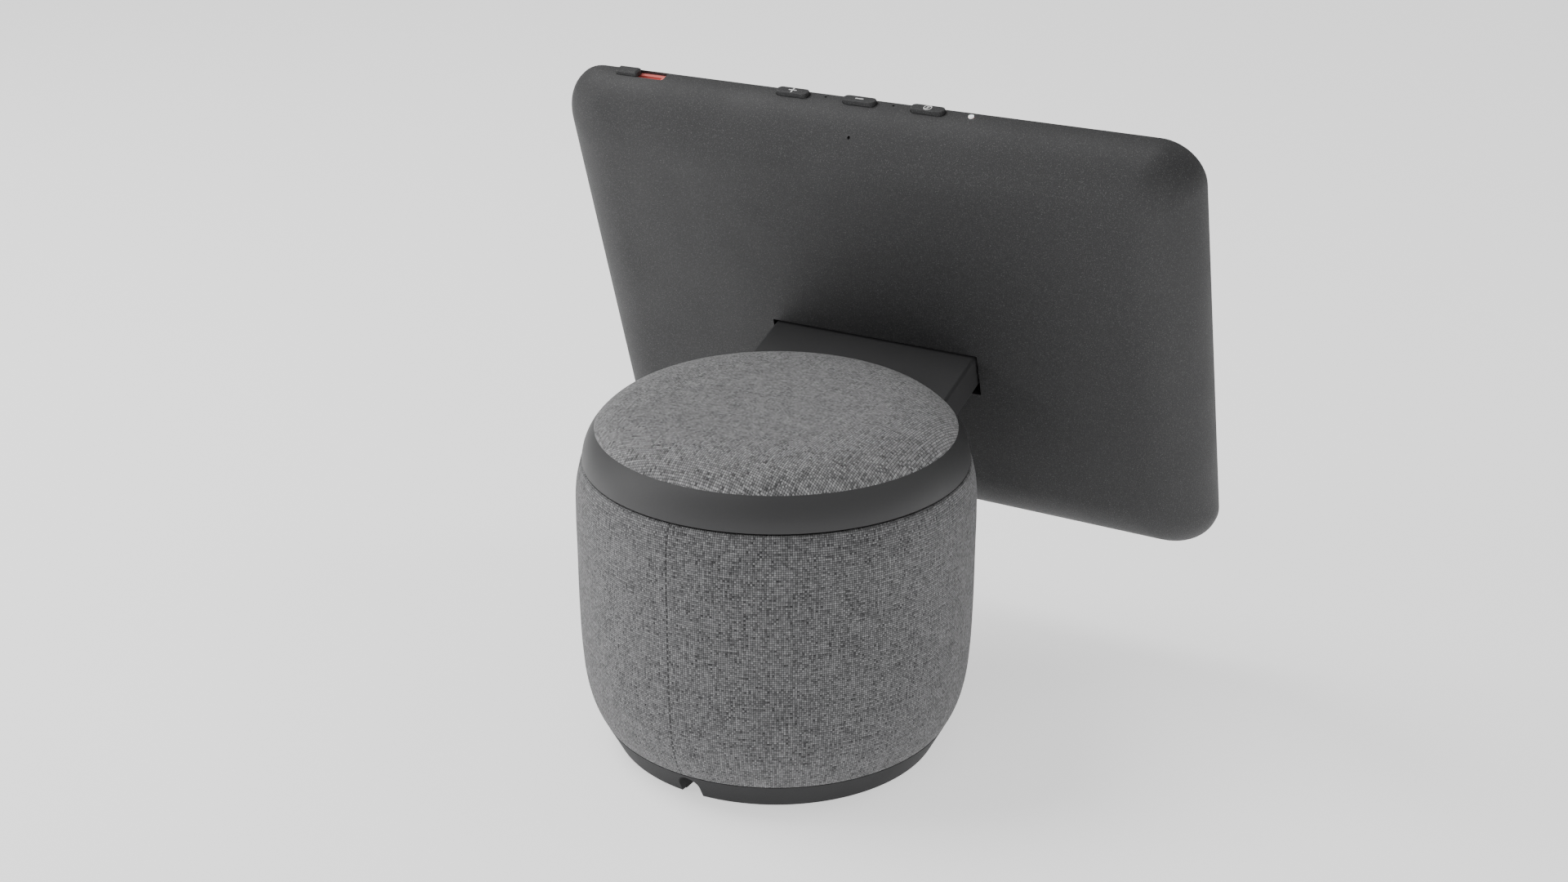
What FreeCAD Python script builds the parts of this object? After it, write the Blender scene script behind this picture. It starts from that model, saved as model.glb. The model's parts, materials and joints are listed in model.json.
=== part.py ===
"""Motorised smart display: a squat speaker base, a swivelling ring with a flat arm, and a
tablet that tilts on the end of the arm.

Millimetres, +Z up. The origin is on the table at the base's axis. The screen faces -Y and
leans back at rest; the cable notch is at +Y. Tablet pieces are drawn in the tablet's own axes
(x along its width, y from the front glass towards the back, z up the screen) and then leaned.
"""
import FreeCAD
import Part
import math
import os

Vec = FreeCAD.Vector

# ---- Base: a barrel on a dark conical foot --------------------------------------------------
FOOT_TOP = 10.0
FOOT_TOP_R = 63.4
FOOT_BOTTOM_R = 58.5
FOOT_CLEARANCE = 0.5          # the plastic foot stops this far above the table
PAD_R = 56.0
PAD_THICKNESS = 1.5
FOOT_FLOOR_TOP = 4.0
BARREL = [(63.4, 10.0), (66.2, 16.0), (68.3, 24.0), (69.4, 34.0), (70.0, 50.0),
          (70.1, 75.0), (70.1, 88.0), (69.6, 98.0), (67.9, 105.6)]
FABRIC = 1.2
CAGE_WALL = 2.2
CAGE_FLOOR_TOP = 12.3
NOTCH_HALF = 4.1              # cable notch: an arched tunnel open at the bottom
NOTCH_AXIS_Z = 4.7
NOTCH_START_Y = 42.3
JACK_R = 4.0
JACK_MOUTH_Y = 52.0
PLUG_BORE_R = 2.8
WEIGHT_R = 41.5
WEIGHT_TOP = 11.5
FOOT_SCREW_CIRCLE = 52.0
WEIGHT_SCREW_CIRCLE = 27.0

# ---- Speaker box, woofer facing -Y, tweeters to the front corners ---------------------------
BOX_HALF_X = 40.0
BOX_FRONT = -40.0
BOX_BACK = 44.0
BOX_TOP = 88.0
BOX_WALL = 2.5
WOOFER_Z = 50.2
WOOFER_FLANGE_R = 37.0
WOOFER_HOLE_R = 33.0
MAGNET_R = 22.0
TWEETER_ANGLE = 60.0          # from straight ahead
TWEETER_FACE = 63.0           # distance of its face from the axis
TWEETER_Z = 66.0
TWEETER_R = 14.0

# ---- Swivel: deck and spindle below, plate and ring gear above ------------------------------
DECK_BOTTOM = 96.0
DECK_TOP = 99.0
DECK_R = 65.6
SPINDLE_R = 9.0
SPINDLE_BORE_R = 5.5
SPINDLE_TOP = 115.2
PLATE_BOTTOM = 107.0
PLATE_TOP = 110.0
PLATE_R = 64.0
HUB_R = 14.0
HUB_TOP = 113.5
BUSH_R = 11.0
RUNNING_FIT = 0.05
GLIDE_INNER = 54.0
GLIDE_OUTER = 58.0
GEAR_MODULE = 1.25
RING_TEETH = 72
PINION_TEETH = 16
GEAR_OUTER_R = 51.0
GEAR_BOTTOM = 100.0
BACKLASH = 0.20
PRESSURE_ANGLE = math.radians(20.0)
MOTOR_X = GEAR_MODULE * (RING_TEETH - PINION_TEETH) / 2.0
MOTOR_R = 16.0
LUG_INNER = 17.5
LUG_OUTER = 23.0
LUG_WIDTH = 1.2

# ---- Ring, arm and fabric top --------------------------------------------------------------
RING_BOTTOM = 106.3
RING_PROFILE = [(67.5, 106.3), (66.3, 112.0), (62.9, 117.7)]
RING_BORE_R = 60.5
DOME_R = 62.9
DOME_FOOT = 117.7
DOME_RISE = 9.54
DOME_POWER = 7.4              # height falls as the radius to this power: flat, then a tight rim
DOME_SKIN = 1.5
ARM_HALF_X = 41.5
ARM_HALF_T = 6.3
ARM_SLOPE = math.radians(19.2)
ARM_WALL = 1.8
ARM_END_Y = -40.0
FRAME_HALF_T = 2.0
FRAME_FOOT_TOP = 114.0

# ---- Tablet --------------------------------------------------------------------------------
TILT = 17.41                  # lean back at rest, degrees
BOTTOM_EDGE = (-115.43, 55.4)  # y and z of the front glass's bottom edge
WIDTH = 251.0
HEIGHT = 170.9
THICK = 20.0
HOUSING_FRONT = 0.4
HOUSING_WALL = 2.0            # across the back
RIM_WALL = 2.5                # around the edge
CORNER_R = 15.5
ROUND_START = 2.0             # the back edges round off from here to the back plane
ROUND_INSET = 22.9
ROUND_STEPS = 6
GLASS_INSET = 2.6
GLASS_THICK = 1.8
LCD = (229.0, 149.0, 2.6)
MID_FRONT = 4.5
MID_BACK = 6.0
MID_TOP = 158.5
HINGE_V = 73.4
HINGE_DEPTH = 15.0
SLOT_HALF_X = 42.4
SLOT_LOW = 63.2
SLOT_HIGH = 80.6
SLOT_FLOOR = 8.0
WELL_WALL = 1.5
SHAFT_R = 2.0
SHAFT_HALF = 51.5
BUTTON_X = {"volume_up_button": 27.8, "volume_down_button": 1.0, "mic_button": -25.6}
BUTTON_SIZE = (12.9, 3.8)
BUTTON_DEPTH = 3.05
BUTTON_TOP = HEIGHT + 1.0
BUTTON_GAP = 0.25
CAP_UNDERSIDE = 169.2         # the full-size cap stops here, above the glass
STEM_FRONT = 2.4              # below it only a stem behind the glass
TRACK_X = (81.7, 102.6)
TRACK_DEPTH = (0.95, 5.25)
TRACK_FLOOR = (168.5, 169.4)
SLIDER_X = (93.0, 102.4)
SLIDER_GAP = 0.15
SLIDER_TOP = HEIGHT + 1.0
CAMERA_X = 92.0
CAMERA_V = 162.0
LIGHT_X = -42.0
MIC_X = (14.9, -11.9)
MIC_DEPTH = 2.5
LIGHT_DEPTH = 3.1
RESET_HOLE = (0.4, 163.2)
BOARD_V = (160.8, 162.4)
BOSSES = [(x, v) for x in (-108.0, 108.0) for v in (25.0, 85.0, 145.0)]
BOSSES += [(x, v) for x in (-35.0, 35.0) for v in (25.0, 145.0)]


# ---- Helpers -------------------------------------------------------------------------------
def box(x0, x1, y0, y1, z0, z1):
    return Part.makeBox(x1 - x0, y1 - y0, z1 - z0, Vec(x0, y0, z0))


def rod(radius, start, end):
    """Cylinder between two points."""
    span = Vec(*end) - Vec(*start)
    return Part.makeCylinder(radius, span.Length, Vec(*start), span)


def post(radius, x, y, z0, z1):
    return rod(radius, (x, y, z0), (x, y, z1))


def tube(outer, inner, z0, z1, x=0.0, y=0.0):
    return post(outer, x, y, z0, z1).cut(post(inner, x, y, z0 - 1, z1 + 1))


def spin(edges):
    """Solid of revolution about Z from edges that close a loop in the XZ half plane."""
    face = Part.Face(Part.Wire(Part.__sortEdges__(edges)))
    return face.revolve(Vec(0, 0, 0), Vec(0, 0, 1), 360)


def chain(points):
    """Straight edges through (r, z) points."""
    places = [Vec(r, 0, z) for r, z in points]
    return [Part.makeLine(a, b) for a, b in zip(places, places[1:])]


def curve(points):
    """One smooth edge through (r, z) points."""
    spline = Part.BSplineCurve()
    spline.interpolate([Vec(r, 0, z) for r, z in points])
    return spline.toShape()


def profile_x(edges, half_width):
    """Extrude a closed loop of edges in the YZ plane evenly either side of x = 0."""
    face = Part.Face(Part.Wire(Part.__sortEdges__(edges)))
    face.translate(Vec(-half_width, 0, 0))
    return face.extrude(Vec(2 * half_width, 0, 0))


def join(first, *others):
    return first.multiFuse(list(others)).removeSplitter()


def group(solids):
    return Part.makeCompound(solids)


def ring_places(radius, angles):
    """Places on a circle; angles in degrees from +X."""
    return [(radius * math.cos(math.radians(a)), radius * math.sin(math.radians(a)))
            for a in angles]


def screw(x, y, z_head, z_tip, head_r=2.6, head_h=1.6, shank_r=1.5):
    """Vertical screw; its head lies between z_head and the shank, on the far side from the tip."""
    away = math.copysign(head_h, z_head - z_tip)
    return join(post(shank_r, x, y, *sorted((z_head, z_tip))),
                post(head_r, x, y, *sorted((z_head, z_head + away))))


def lean(shape):
    """Take a tablet piece from the tablet's own axes to the row frame."""
    placed = shape.copy()
    placed.rotate(Vec(0, 0, 0), Vec(1, 0, 0), -TILT)
    placed.translate(Vec(0, *BOTTOM_EDGE))
    return placed


def hinge_centre():
    """Row-frame y and z of the tilt axis."""
    centre = Vec(0, HINGE_DEPTH, HINGE_V)
    placed = lean(Part.Vertex(centre)).Point
    return placed.y, placed.z


# ---- Base ----------------------------------------------------------------------------------
def notch():
    """Arched tunnel for the plug, open at the table."""
    arch = rod(NOTCH_HALF, (0, NOTCH_START_Y, NOTCH_AXIS_Z), (0, 70, NOTCH_AXIS_Z))
    return arch.fuse(box(-NOTCH_HALF, NOTCH_HALF, NOTCH_START_Y, 70, -1, NOTCH_AXIS_Z))


def foot_screw_places():
    return ring_places(FOOT_SCREW_CIRCLE, (45, 135, 225, 315))


def weight_screw_places():
    return ring_places(WEIGHT_SCREW_CIRCLE, (30, 150, 270))


def rubber_foot():
    return post(PAD_R, 0, 0, 0, PAD_THICKNESS).cut(notch())


def foot_shell():
    """Dark conical dish with screw bosses and the cable notch."""
    dish = spin(chain([(0, PAD_THICKNESS), (PAD_R + 0.3, PAD_THICKNESS),
                       (PAD_R + 0.3, FOOT_CLEARANCE), (FOOT_BOTTOM_R, FOOT_CLEARANCE),
                       (FOOT_TOP_R, FOOT_TOP), (60.0, FOOT_TOP), (56.5, FOOT_FLOOR_TOP),
                       (0, FOOT_FLOOR_TOP), (0, PAD_THICKNESS)]))
    bosses = [post(3.5, x, y, FOOT_FLOOR_TOP, FOOT_TOP) for x, y in foot_screw_places()]
    tools = [notch()]
    for x, y in foot_screw_places() + weight_screw_places():
        tools.append(post(1.7, x, y, 1, FOOT_TOP + 1))
        tools.append(post(3.0, x, y, 1, 3.3))
    return join(dish, *bosses).cut(tools)


def counterweight():
    disc = tube(WEIGHT_R, 12, FOOT_FLOOR_TOP, WEIGHT_TOP)
    return disc.cut([post(1.55, x, y, 3, WEIGHT_TOP + 1) for x, y in weight_screw_places()])


def foot_screws():
    """Identical screws from below: through the bosses into the cage, and into the weight."""
    places = foot_screw_places() + weight_screw_places()
    return group([screw(x, y, 3.3, 11.3) for x, y in places])


def dc_jack():
    body = rod(JACK_R, (0, NOTCH_START_Y + 0.2, NOTCH_AXIS_Z), (0, JACK_MOUTH_Y, NOTCH_AXIS_Z))
    bore = rod(PLUG_BORE_R, (0, JACK_MOUTH_Y - 8, NOTCH_AXIS_Z),
               (0, JACK_MOUTH_Y + 1, NOTCH_AXIS_Z))
    pin = rod(1.0, (0, JACK_MOUTH_Y - 8.5, NOTCH_AXIS_Z), (0, JACK_MOUTH_Y - 1, NOTCH_AXIS_Z))
    return join(body.cut(bore), pin)


def barrel_skin(outer_inset, inner_inset):
    """Shell between two copies of the barrel's outline, each drawn in by its inset."""
    outside = [(r - outer_inset, z) for r, z in BARREL]
    inside = [(r - inner_inset, z) for r, z in BARREL]
    return spin([curve(outside), curve(inside),
                 *chain([outside[0], inside[0]]), *chain([outside[-1], inside[-1]])])


def fabric_sleeve():
    return barrel_skin(0.0, FABRIC)


def tweeter_axes():
    """Outward unit vectors of the two tweeters."""
    turn = math.radians(TWEETER_ANGLE)
    return [(side * math.sin(turn), -math.cos(turn)) for side in (-1, 1)]


def along(direction, near, far, radius, z):
    """Horizontal cylinder on a line out from the axis."""
    dx, dy = direction
    return rod(radius, (dx * near, dy * near, z), (dx * far, dy * far, z))


def grille_cage():
    """Slotted barrel under the fabric, with a floor flange and collars for the tweeters."""
    wall = barrel_skin(FABRIC, FABRIC + CAGE_WALL)
    floor = tube(61.0, 44.0, FOOT_TOP, CAGE_FLOOR_TOP)
    collars = []
    for out in tweeter_axes():
        collar = along(out, TWEETER_FACE - 3, 69, TWEETER_R + 2, TWEETER_Z)
        collars.append(collar.cut(along(out, 50, 72, TWEETER_R + 0.2, TWEETER_Z)))
    solid_core = spin([curve([(r - FABRIC, z) for r, z in BARREL]),
                       *chain([(BARREL[0][0] - FABRIC, FOOT_TOP), (0, FOOT_TOP), (0, BARREL[-1][1]),
                               (BARREL[-1][0] - FABRIC, BARREL[-1][1])])])
    cage = join(wall, floor, *[c.common(solid_core) for c in collars])
    slots = []
    for column in range(26):
        turn = math.radians(-90 + (column - 12.5) * 12.0)
        for low in (20.0, 38.0, 56.0, 74.0):
            slot = box(58, 74, -1.5, 1.5, low, low + 13.0)
            slot.rotate(Vec(0, 0, 0), Vec(0, 0, 1), math.degrees(turn))
            slots.append(slot)
    pilots = [post(1.55, x, y, FOOT_TOP - 1, CAGE_FLOOR_TOP + 1) for x, y in foot_screw_places()]
    return cage.cut(slots + pilots)


def deck_screw_places():
    return [(x, y) for x in (-32.0, 32.0) for y in (-33.0, 36.0)]


def speaker_box():
    """Sealed rectangular enclosure with a woofer hole in front and bosses under its lid."""
    outer = box(-BOX_HALF_X, BOX_HALF_X, BOX_FRONT, BOX_BACK, CAGE_FLOOR_TOP, BOX_TOP)
    inner = box(-BOX_HALF_X + BOX_WALL, BOX_HALF_X - BOX_WALL, BOX_FRONT + BOX_WALL,
                BOX_BACK - BOX_WALL, CAGE_FLOOR_TOP + BOX_WALL, BOX_TOP - BOX_WALL)
    hole = rod(WOOFER_HOLE_R, (0, BOX_FRONT - 1, WOOFER_Z), (0, BOX_FRONT + 5, WOOFER_Z))
    bosses = [post(4.5, x, y, 76, BOX_TOP - 1) for x, y in deck_screw_places()]
    pads = [rod(3.0, (x, BOX_BACK - 1, z), (x, BOX_BACK + 2, z))
            for x in (-30, 30) for z in (25, 75)]
    pilots = [post(1.55, x, y, 80, BOX_TOP + 1) for x, y in deck_screw_places()]
    return join(outer.cut([inner, hole]), *bosses, *pads).cut(pilots)


def woofer_spin(edges):
    """Revolve edges drawn as (r, distance behind the baffle) and turn them to face -Y."""
    shape = spin(edges)
    shape.rotate(Vec(0, 0, 0), Vec(1, 0, 0), -90)
    shape.translate(Vec(0, BOX_FRONT, WOOFER_Z))
    return shape


def woofer_basket():
    return woofer_spin(chain([(WOOFER_FLANGE_R, -2), (WOOFER_FLANGE_R, 0), (32.6, 0),
                              (16, 22), (16, 26), (13, 26), (13, 21), (31, -1), (31, -2),
                              (WOOFER_FLANGE_R, -2)]))


def woofer_cone():
    """Rolled surround, cone and dust cap in one."""
    return woofer_spin(chain([(36, -2), (36, -2.6), (33.5, -5), (31, -3), (12, 10), (7, 7.5),
                              (0, 6.5), (0, 7.5), (7, 8.6), (11.9, 12), (30.4, -1.2), (31, -2),
                              (36, -2)]))


def woofer_magnet():
    return woofer_spin(chain([(0, 26), (MAGNET_R, 26), (MAGNET_R, 40), (0, 40), (0, 26)]))


def tweeters():
    parts = []
    for out in tweeter_axes():
        flange = along(out, TWEETER_FACE - 2, TWEETER_FACE, TWEETER_R, TWEETER_Z)
        body = along(out, TWEETER_FACE - 11, TWEETER_FACE - 2, 9.5, TWEETER_Z)
        recess = along(out, TWEETER_FACE - 1.2, TWEETER_FACE + 1, 11, TWEETER_Z)
        dome = along(out, TWEETER_FACE - 1.5, TWEETER_FACE - 0.4, 7, TWEETER_Z)
        parts.append(join(join(flange, body).cut(recess), dome))
    return group(parts)


def power_board():
    """Upright board behind the speaker box, with its transformer and capacitors."""
    front = BOX_BACK + 2
    back = front + 1.6
    board = box(-35, 35, front, back, 20, 80)
    parts = [box(-12, 12, back, 57, 40, 62), box(-30, -18, back, 52, 28, 36)]
    parts += [rod(4, (x, back, 70), (x, back + 7, 70)) for x in (-22, -11, 14)]
    parts += [box(18, 30, back, 51, 44, 56)]
    return join(board, *parts)


def pivot_harness():
    """Cable loom from the power board, over the box and up the hollow spindle."""
    bend = 6.0
    level = 92.0
    rise_y = 50.5
    diagonal = bend * (1 - math.cos(math.pi / 4))
    path = [
        Part.makeLine(Vec(0, rise_y, 63), Vec(0, rise_y, level - bend)),
        Part.Arc(Vec(0, rise_y, level - bend), Vec(0, rise_y - diagonal, level - diagonal),
                 Vec(0, rise_y - bend, level)).toShape(),
        Part.makeLine(Vec(0, rise_y - bend, level), Vec(0, bend, level)),
        Part.Arc(Vec(0, bend, level), Vec(0, diagonal, level + diagonal),
                 Vec(0, 0, level + bend)).toShape(),
        Part.makeLine(Vec(0, 0, level + bend), Vec(0, 0, HUB_TOP)),
    ]
    section = Part.Wire(Part.makeCircle(2.0, Vec(0, rise_y, 63), Vec(0, 0, 1)))
    return Part.Wire(path).makePipeShell([section], True, False)


def lug(turn, z0, z1):
    """Stop lug standing across the gap between the spindle and the pinion."""
    block = box(LUG_INNER, LUG_OUTER, -LUG_WIDTH / 2, LUG_WIDTH / 2, z0, z1)
    block.rotate(Vec(0, 0, 0), Vec(0, 0, 1), turn)
    return block


def motor_screw_places():
    return [(MOTOR_X + x, y) for x, y in ring_places(11.5, (60, 180, 300))]


def upper_deck():
    """Fixed deck: hollow spindle, glide wall, posts down to the box and a rear stop lug."""
    plate = post(DECK_R, 0, 0, DECK_BOTTOM, DECK_TOP)
    spindle = post(SPINDLE_R, 0, 0, DECK_TOP - 1, SPINDLE_TOP)
    wall = tube(GLIDE_OUTER, GLIDE_INNER, DECK_TOP - 1, 104.5)
    posts = [post(4.5, x, y, BOX_TOP, DECK_BOTTOM + 1) for x, y in deck_screw_places()]
    tools = [post(SPINDLE_BORE_R, 0, 0, 90, 120), post(5.0, MOTOR_X, 0, 90, 105)]
    for x, y in deck_screw_places():
        tools.append(post(1.7, x, y, BOX_TOP - 1, DECK_TOP + 1))
        tools.append(post(2.9, x, y, 97.3, DECK_TOP + 1))
    for x, y in motor_screw_places():
        tools.append(post(1.7, x, y, DECK_BOTTOM - 1, DECK_TOP + 1))
        tools.append(post(2.9, x, y, 97.3, DECK_TOP + 1))
    return join(plate, spindle, wall, *posts, lug(90, DECK_TOP - 1, 104.0)).cut(tools)


def deck_screws():
    return group([screw(x, y, 97.3, 82.0) for x, y in deck_screw_places()])


def glide_ring():
    return tube(GLIDE_OUTER - 0.2, GLIDE_INNER + 0.2, 104.5, PLATE_BOTTOM - 0.1)


def spindle_clip():
    """Retaining washer that keeps the turret on the spindle."""
    return tube(12.5, SPINDLE_R, HUB_TOP + 0.3, SPINDLE_TOP - 0.2)


def swivel_motor():
    can = post(MOTOR_R, MOTOR_X, 0, 88.4, DECK_BOTTOM)
    tools = [post(1.55, MOTOR_X, 0, 89.4, 97)]
    tools += [post(1.55, x, y, 91, 97) for x, y in motor_screw_places()]
    return can.cut(tools)


def motor_screws():
    return group([screw(x, y, 97.3, 91.5) for x, y in motor_screw_places()])


# ---- Gears ---------------------------------------------------------------------------------
def involute(angle):
    return math.tan(angle) - angle


def gear_block(teeth, tip_r, root_r, thicker, z0, z1):
    """Prism with involute teeth; `thicker` is added to each tooth's width at the pitch circle."""
    pitch_r = GEAR_MODULE * teeth / 2.0
    base_r = pitch_r * math.cos(PRESSURE_ANGLE)
    half_pitch = math.pi / (2 * teeth) + thicker / (2 * pitch_r) + involute(PRESSURE_ANGLE)
    radii = [root_r + (tip_r - root_r) * step / 4.0 for step in range(5)]

    def half_angle(radius):
        return half_pitch - involute(math.acos(min(1.0, base_r / radius)))

    points = []
    for tooth in range(teeth):
        middle = 2 * math.pi * tooth / teeth
        flank = [(r, -half_angle(r)) for r in radii]
        flank += [(r, half_angle(r)) for r in reversed(radii)]
        points += [Vec(r * math.cos(middle + a), r * math.sin(middle + a), z0) for r, a in flank]
    face = Part.Face(Part.makePolygon(points + points[:1]))
    return face.extrude(Vec(0, 0, z1 - z0))


def motor_pinion():
    """Pinion on the motor's shaft; one tooth points straight away from the base's axis."""
    pitch_r = GEAR_MODULE * PINION_TEETH / 2.0
    gear = gear_block(PINION_TEETH, pitch_r + 0.8 * GEAR_MODULE, pitch_r - GEAR_MODULE,
                      -BACKLASH / 2, GEAR_BOTTOM + 0.3, PLATE_BOTTOM - 0.5)
    gear.translate(Vec(MOTOR_X, 0, 0))
    shaft = post(1.5, MOTOR_X, 0, 90.0, GEAR_BOTTOM + 1)
    return join(gear, shaft)


def gear_screw_places():
    return ring_places(48.7, (45, 135, 225, 315))


def ring_gear():
    """Internal gear under the turret plate; a tooth space is centred on +X."""
    pitch_r = GEAR_MODULE * RING_TEETH / 2.0
    spaces = gear_block(RING_TEETH, pitch_r + GEAR_MODULE, pitch_r - 0.8 * GEAR_MODULE,
                        BACKLASH / 2, GEAR_BOTTOM - 1, PLATE_BOTTOM + 1)
    pilots = [post(1.25, x, y, 102, PLATE_BOTTOM + 1) for x, y in gear_screw_places()]
    return post(GEAR_OUTER_R, 0, 0, GEAR_BOTTOM, PLATE_BOTTOM).cut([spaces] + pilots)


# ---- Turret --------------------------------------------------------------------------------
def arm_screw_places():
    return [(x, y) for x in (-20.0, 20.0) for y in (-44.0, -30.0)]


def ring_screw_places():
    return ring_places(57.8, (90, 35, 145, -20, 200))


def turret_plate():
    plate = join(post(PLATE_R, 0, 0, PLATE_BOTTOM, PLATE_TOP), post(HUB_R, 0, 0, 103, HUB_TOP),
                 lug(270, 101.0, PLATE_BOTTOM + 1))
    tools = [post(BUSH_R, 0, 0, 100, 120)]
    for x, y in arm_screw_places() + ring_screw_places():
        tools.append(post(1.55, x, y, PLATE_BOTTOM - 1, PLATE_TOP + 1))
    for x, y in gear_screw_places():
        tools.append(post(1.3, x, y, PLATE_BOTTOM - 1, PLATE_TOP + 1))
    return plate.cut(tools)


def hub_bush():
    return tube(BUSH_R, SPINDLE_R + RUNNING_FIT, 103, HUB_TOP)


def gear_screws():
    return group([screw(x, y, PLATE_TOP, 102.5, 2.3, 1.4, 1.2) for x, y in gear_screw_places()])


def arm_line(offset, y):
    """Row-frame (y, z) on a line parallel to the arm's middle, `offset` above it."""
    hinge_y, hinge_z = hinge_centre()
    start_y = hinge_y + offset * math.sin(ARM_SLOPE)
    start_z = hinge_z + offset * math.cos(ARM_SLOPE)
    return y, start_z - (y - start_y) * math.tan(ARM_SLOPE)


def arm_loop(upper, lower, nose_r, end_y, step_y=None, step_upper=None):
    """Arm outline in the YZ plane: round nose on the hinge, two sloping sides, a square end.

    With step_y, the upper side drops there to the lower offset step_upper.
    """
    hinge_y, hinge_z = hinge_centre()
    top = Vec(0, hinge_y + nose_r * math.sin(ARM_SLOPE), hinge_z + nose_r * math.cos(ARM_SLOPE))
    bottom = Vec(0, 2 * hinge_y - top.y, 2 * hinge_z - top.z)
    tip = Vec(0, hinge_y - nose_r * math.cos(ARM_SLOPE), hinge_z + nose_r * math.sin(ARM_SLOPE))
    corners = [top]
    if step_y is not None:
        corners += [Vec(0, *arm_line(upper, step_y)), Vec(0, *arm_line(step_upper, step_y))]
        upper = step_upper
    corners += [Vec(0, *arm_line(upper, end_y)), Vec(0, *arm_line(lower, end_y)), bottom]
    edges = [Part.makeLine(a, b) for a, b in zip(corners, corners[1:])]
    return edges + [Part.Arc(bottom, tip, top).toShape()]


def arm_block():
    """Outside of the arm, with its long edges softened."""
    block = profile_x(arm_loop(ARM_HALF_T, -ARM_HALF_T, ARM_HALF_T, ARM_END_Y), ARM_HALF_X)
    sides = [e for e in block.Edges
             if abs(abs(e.CenterOfMass.x) - ARM_HALF_X) < 0.01 and e.CenterOfMass.y < ARM_END_Y - 1]
    return block.makeFillet(1.2, sides)


def arm_cavity():
    """Room inside the arm for its frame; lower under the fabric top."""
    inner = ARM_HALF_T - ARM_WALL
    loop = arm_loop(inner, -inner, inner, ARM_END_Y + 1, -67.0, FRAME_HALF_T + 0.4)
    return profile_x(loop, ARM_HALF_X - 2.0)


def dome_edge(inset):
    """Curved top of the fabric disc, drawn in by inset, from the axis out to the rim."""
    radius = DOME_R - inset
    rise = DOME_RISE - inset
    shares = [0.0, 0.35, 0.6, 0.75, 0.85, 0.91, 0.95, 0.98, 1.0]
    return curve([(radius * s, DOME_FOOT + rise * (1 - s ** DOME_POWER)) for s in shares])


def dome(inset, foot=DOME_FOOT):
    """Solid dome; foot may be lower than the rim, for use as a cutting tool."""
    radius = DOME_R - inset
    top = DOME_FOOT + DOME_RISE - inset
    rim = [(radius, DOME_FOOT), (radius, foot), (0, foot), (0, top)]
    if foot == DOME_FOOT:
        rim = [(radius, foot), (0, foot), (0, top)]
    return spin([dome_edge(inset), *chain(rim)])


def ring_solid():
    outer = Part.Arc(*[Vec(r, 0, z) for r, z in RING_PROFILE]).toShape()
    return spin([outer, *chain([RING_PROFILE[-1], (RING_BORE_R, DOME_FOOT), (RING_BORE_R, 112.2),
                                (55, 112.2), (55, PLATE_TOP), (64.2, PLATE_TOP),
                                (64.2, RING_BOTTOM), RING_PROFILE[0]])])


def lower_cover_block(gap):
    """Plate that closes the underside of the arm, grown by gap."""
    inner = ARM_HALF_T - ARM_WALL
    front, back = -80.5 - gap, -67.8 + gap
    corners = [Vec(0, *arm_line(-inner + gap, front)), Vec(0, *arm_line(-inner + gap, back)),
               Vec(0, *arm_line(-ARM_HALF_T - 1, back)), Vec(0, *arm_line(-ARM_HALF_T - 1, front))]
    edges = [Part.makeLine(a, b) for a, b in zip(corners, corners[1:] + corners[:1])]
    return profile_x(edges, ARM_HALF_X - 2.4 + gap)


def swivel_ring():
    """Ring and arm moulding: the arm grows out of the front of the ring."""
    hinge_y, hinge_z = hinge_centre()
    outside = join(ring_solid(), arm_block().cut(post(RING_BORE_R, 0, 0, 90, 140)))
    shaft_hole = rod(SHAFT_R + 0.5, (-60, hinge_y, hinge_z), (60, hinge_y, hinge_z))
    below_ring = post(RING_PROFILE[0][0] + 1, 0, 0, 90, RING_BOTTOM)
    plate_room = post(PLATE_R + 0.2, 0, 0, 90, PLATE_TOP)
    tools = [arm_cavity(), dome(-0.35, DOME_FOOT - 0.02), lower_cover_block(0.1), shaft_hole,
             below_ring, plate_room]
    tools += [post(1.7, x, y, 108, 114) for x, y in ring_screw_places()]
    return outside.cut(tools)


def arm_lower_cover():
    return lower_cover_block(0.0).common(arm_block())


def arm_frame():
    """Aluminium core of the arm: hinge barrel, sloping web and a foot on the turret plate."""
    hinge_y, hinge_z = hinge_centre()
    half_x = ARM_HALF_X - 2.6
    barrel = rod(4.2, (-half_x, hinge_y, hinge_z), (half_x, hinge_y, hinge_z))
    bend_y = -53.4
    web = [Vec(0, *arm_line(FRAME_HALF_T, hinge_y)), Vec(0, *arm_line(FRAME_HALF_T, bend_y)),
           Vec(0, *arm_line(-FRAME_HALF_T, bend_y)), Vec(0, *arm_line(-FRAME_HALF_T, hinge_y))]
    edges = [Part.makeLine(a, b) for a, b in zip(web, web[1:] + web[:1])]
    foot = box(-28, 28, bend_y - 0.6, -22, PLATE_TOP, FRAME_FOOT_TOP)
    web_plate = profile_x(edges, 37.0).common(box(-50, 50, -90, 0, PLATE_TOP, 130))
    bore = rod(3.2, (-50, hinge_y, hinge_z), (50, hinge_y, hinge_z))
    pilots = [post(1.7, x, y, 105, 120) for x, y in arm_screw_places()]
    return join(barrel, web_plate, foot).cut([bore] + pilots)


def arm_screws():
    """Screws that hold the arm frame down on the plate."""
    return group([screw(x, y, FRAME_FOOT_TOP, 107.3, 2.6, 1.3) for x, y in arm_screw_places()])


def ring_screws():
    return group([screw(x, y, 112.2, 107.3, 2.4, 1.3) for x, y in ring_screw_places()])


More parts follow.
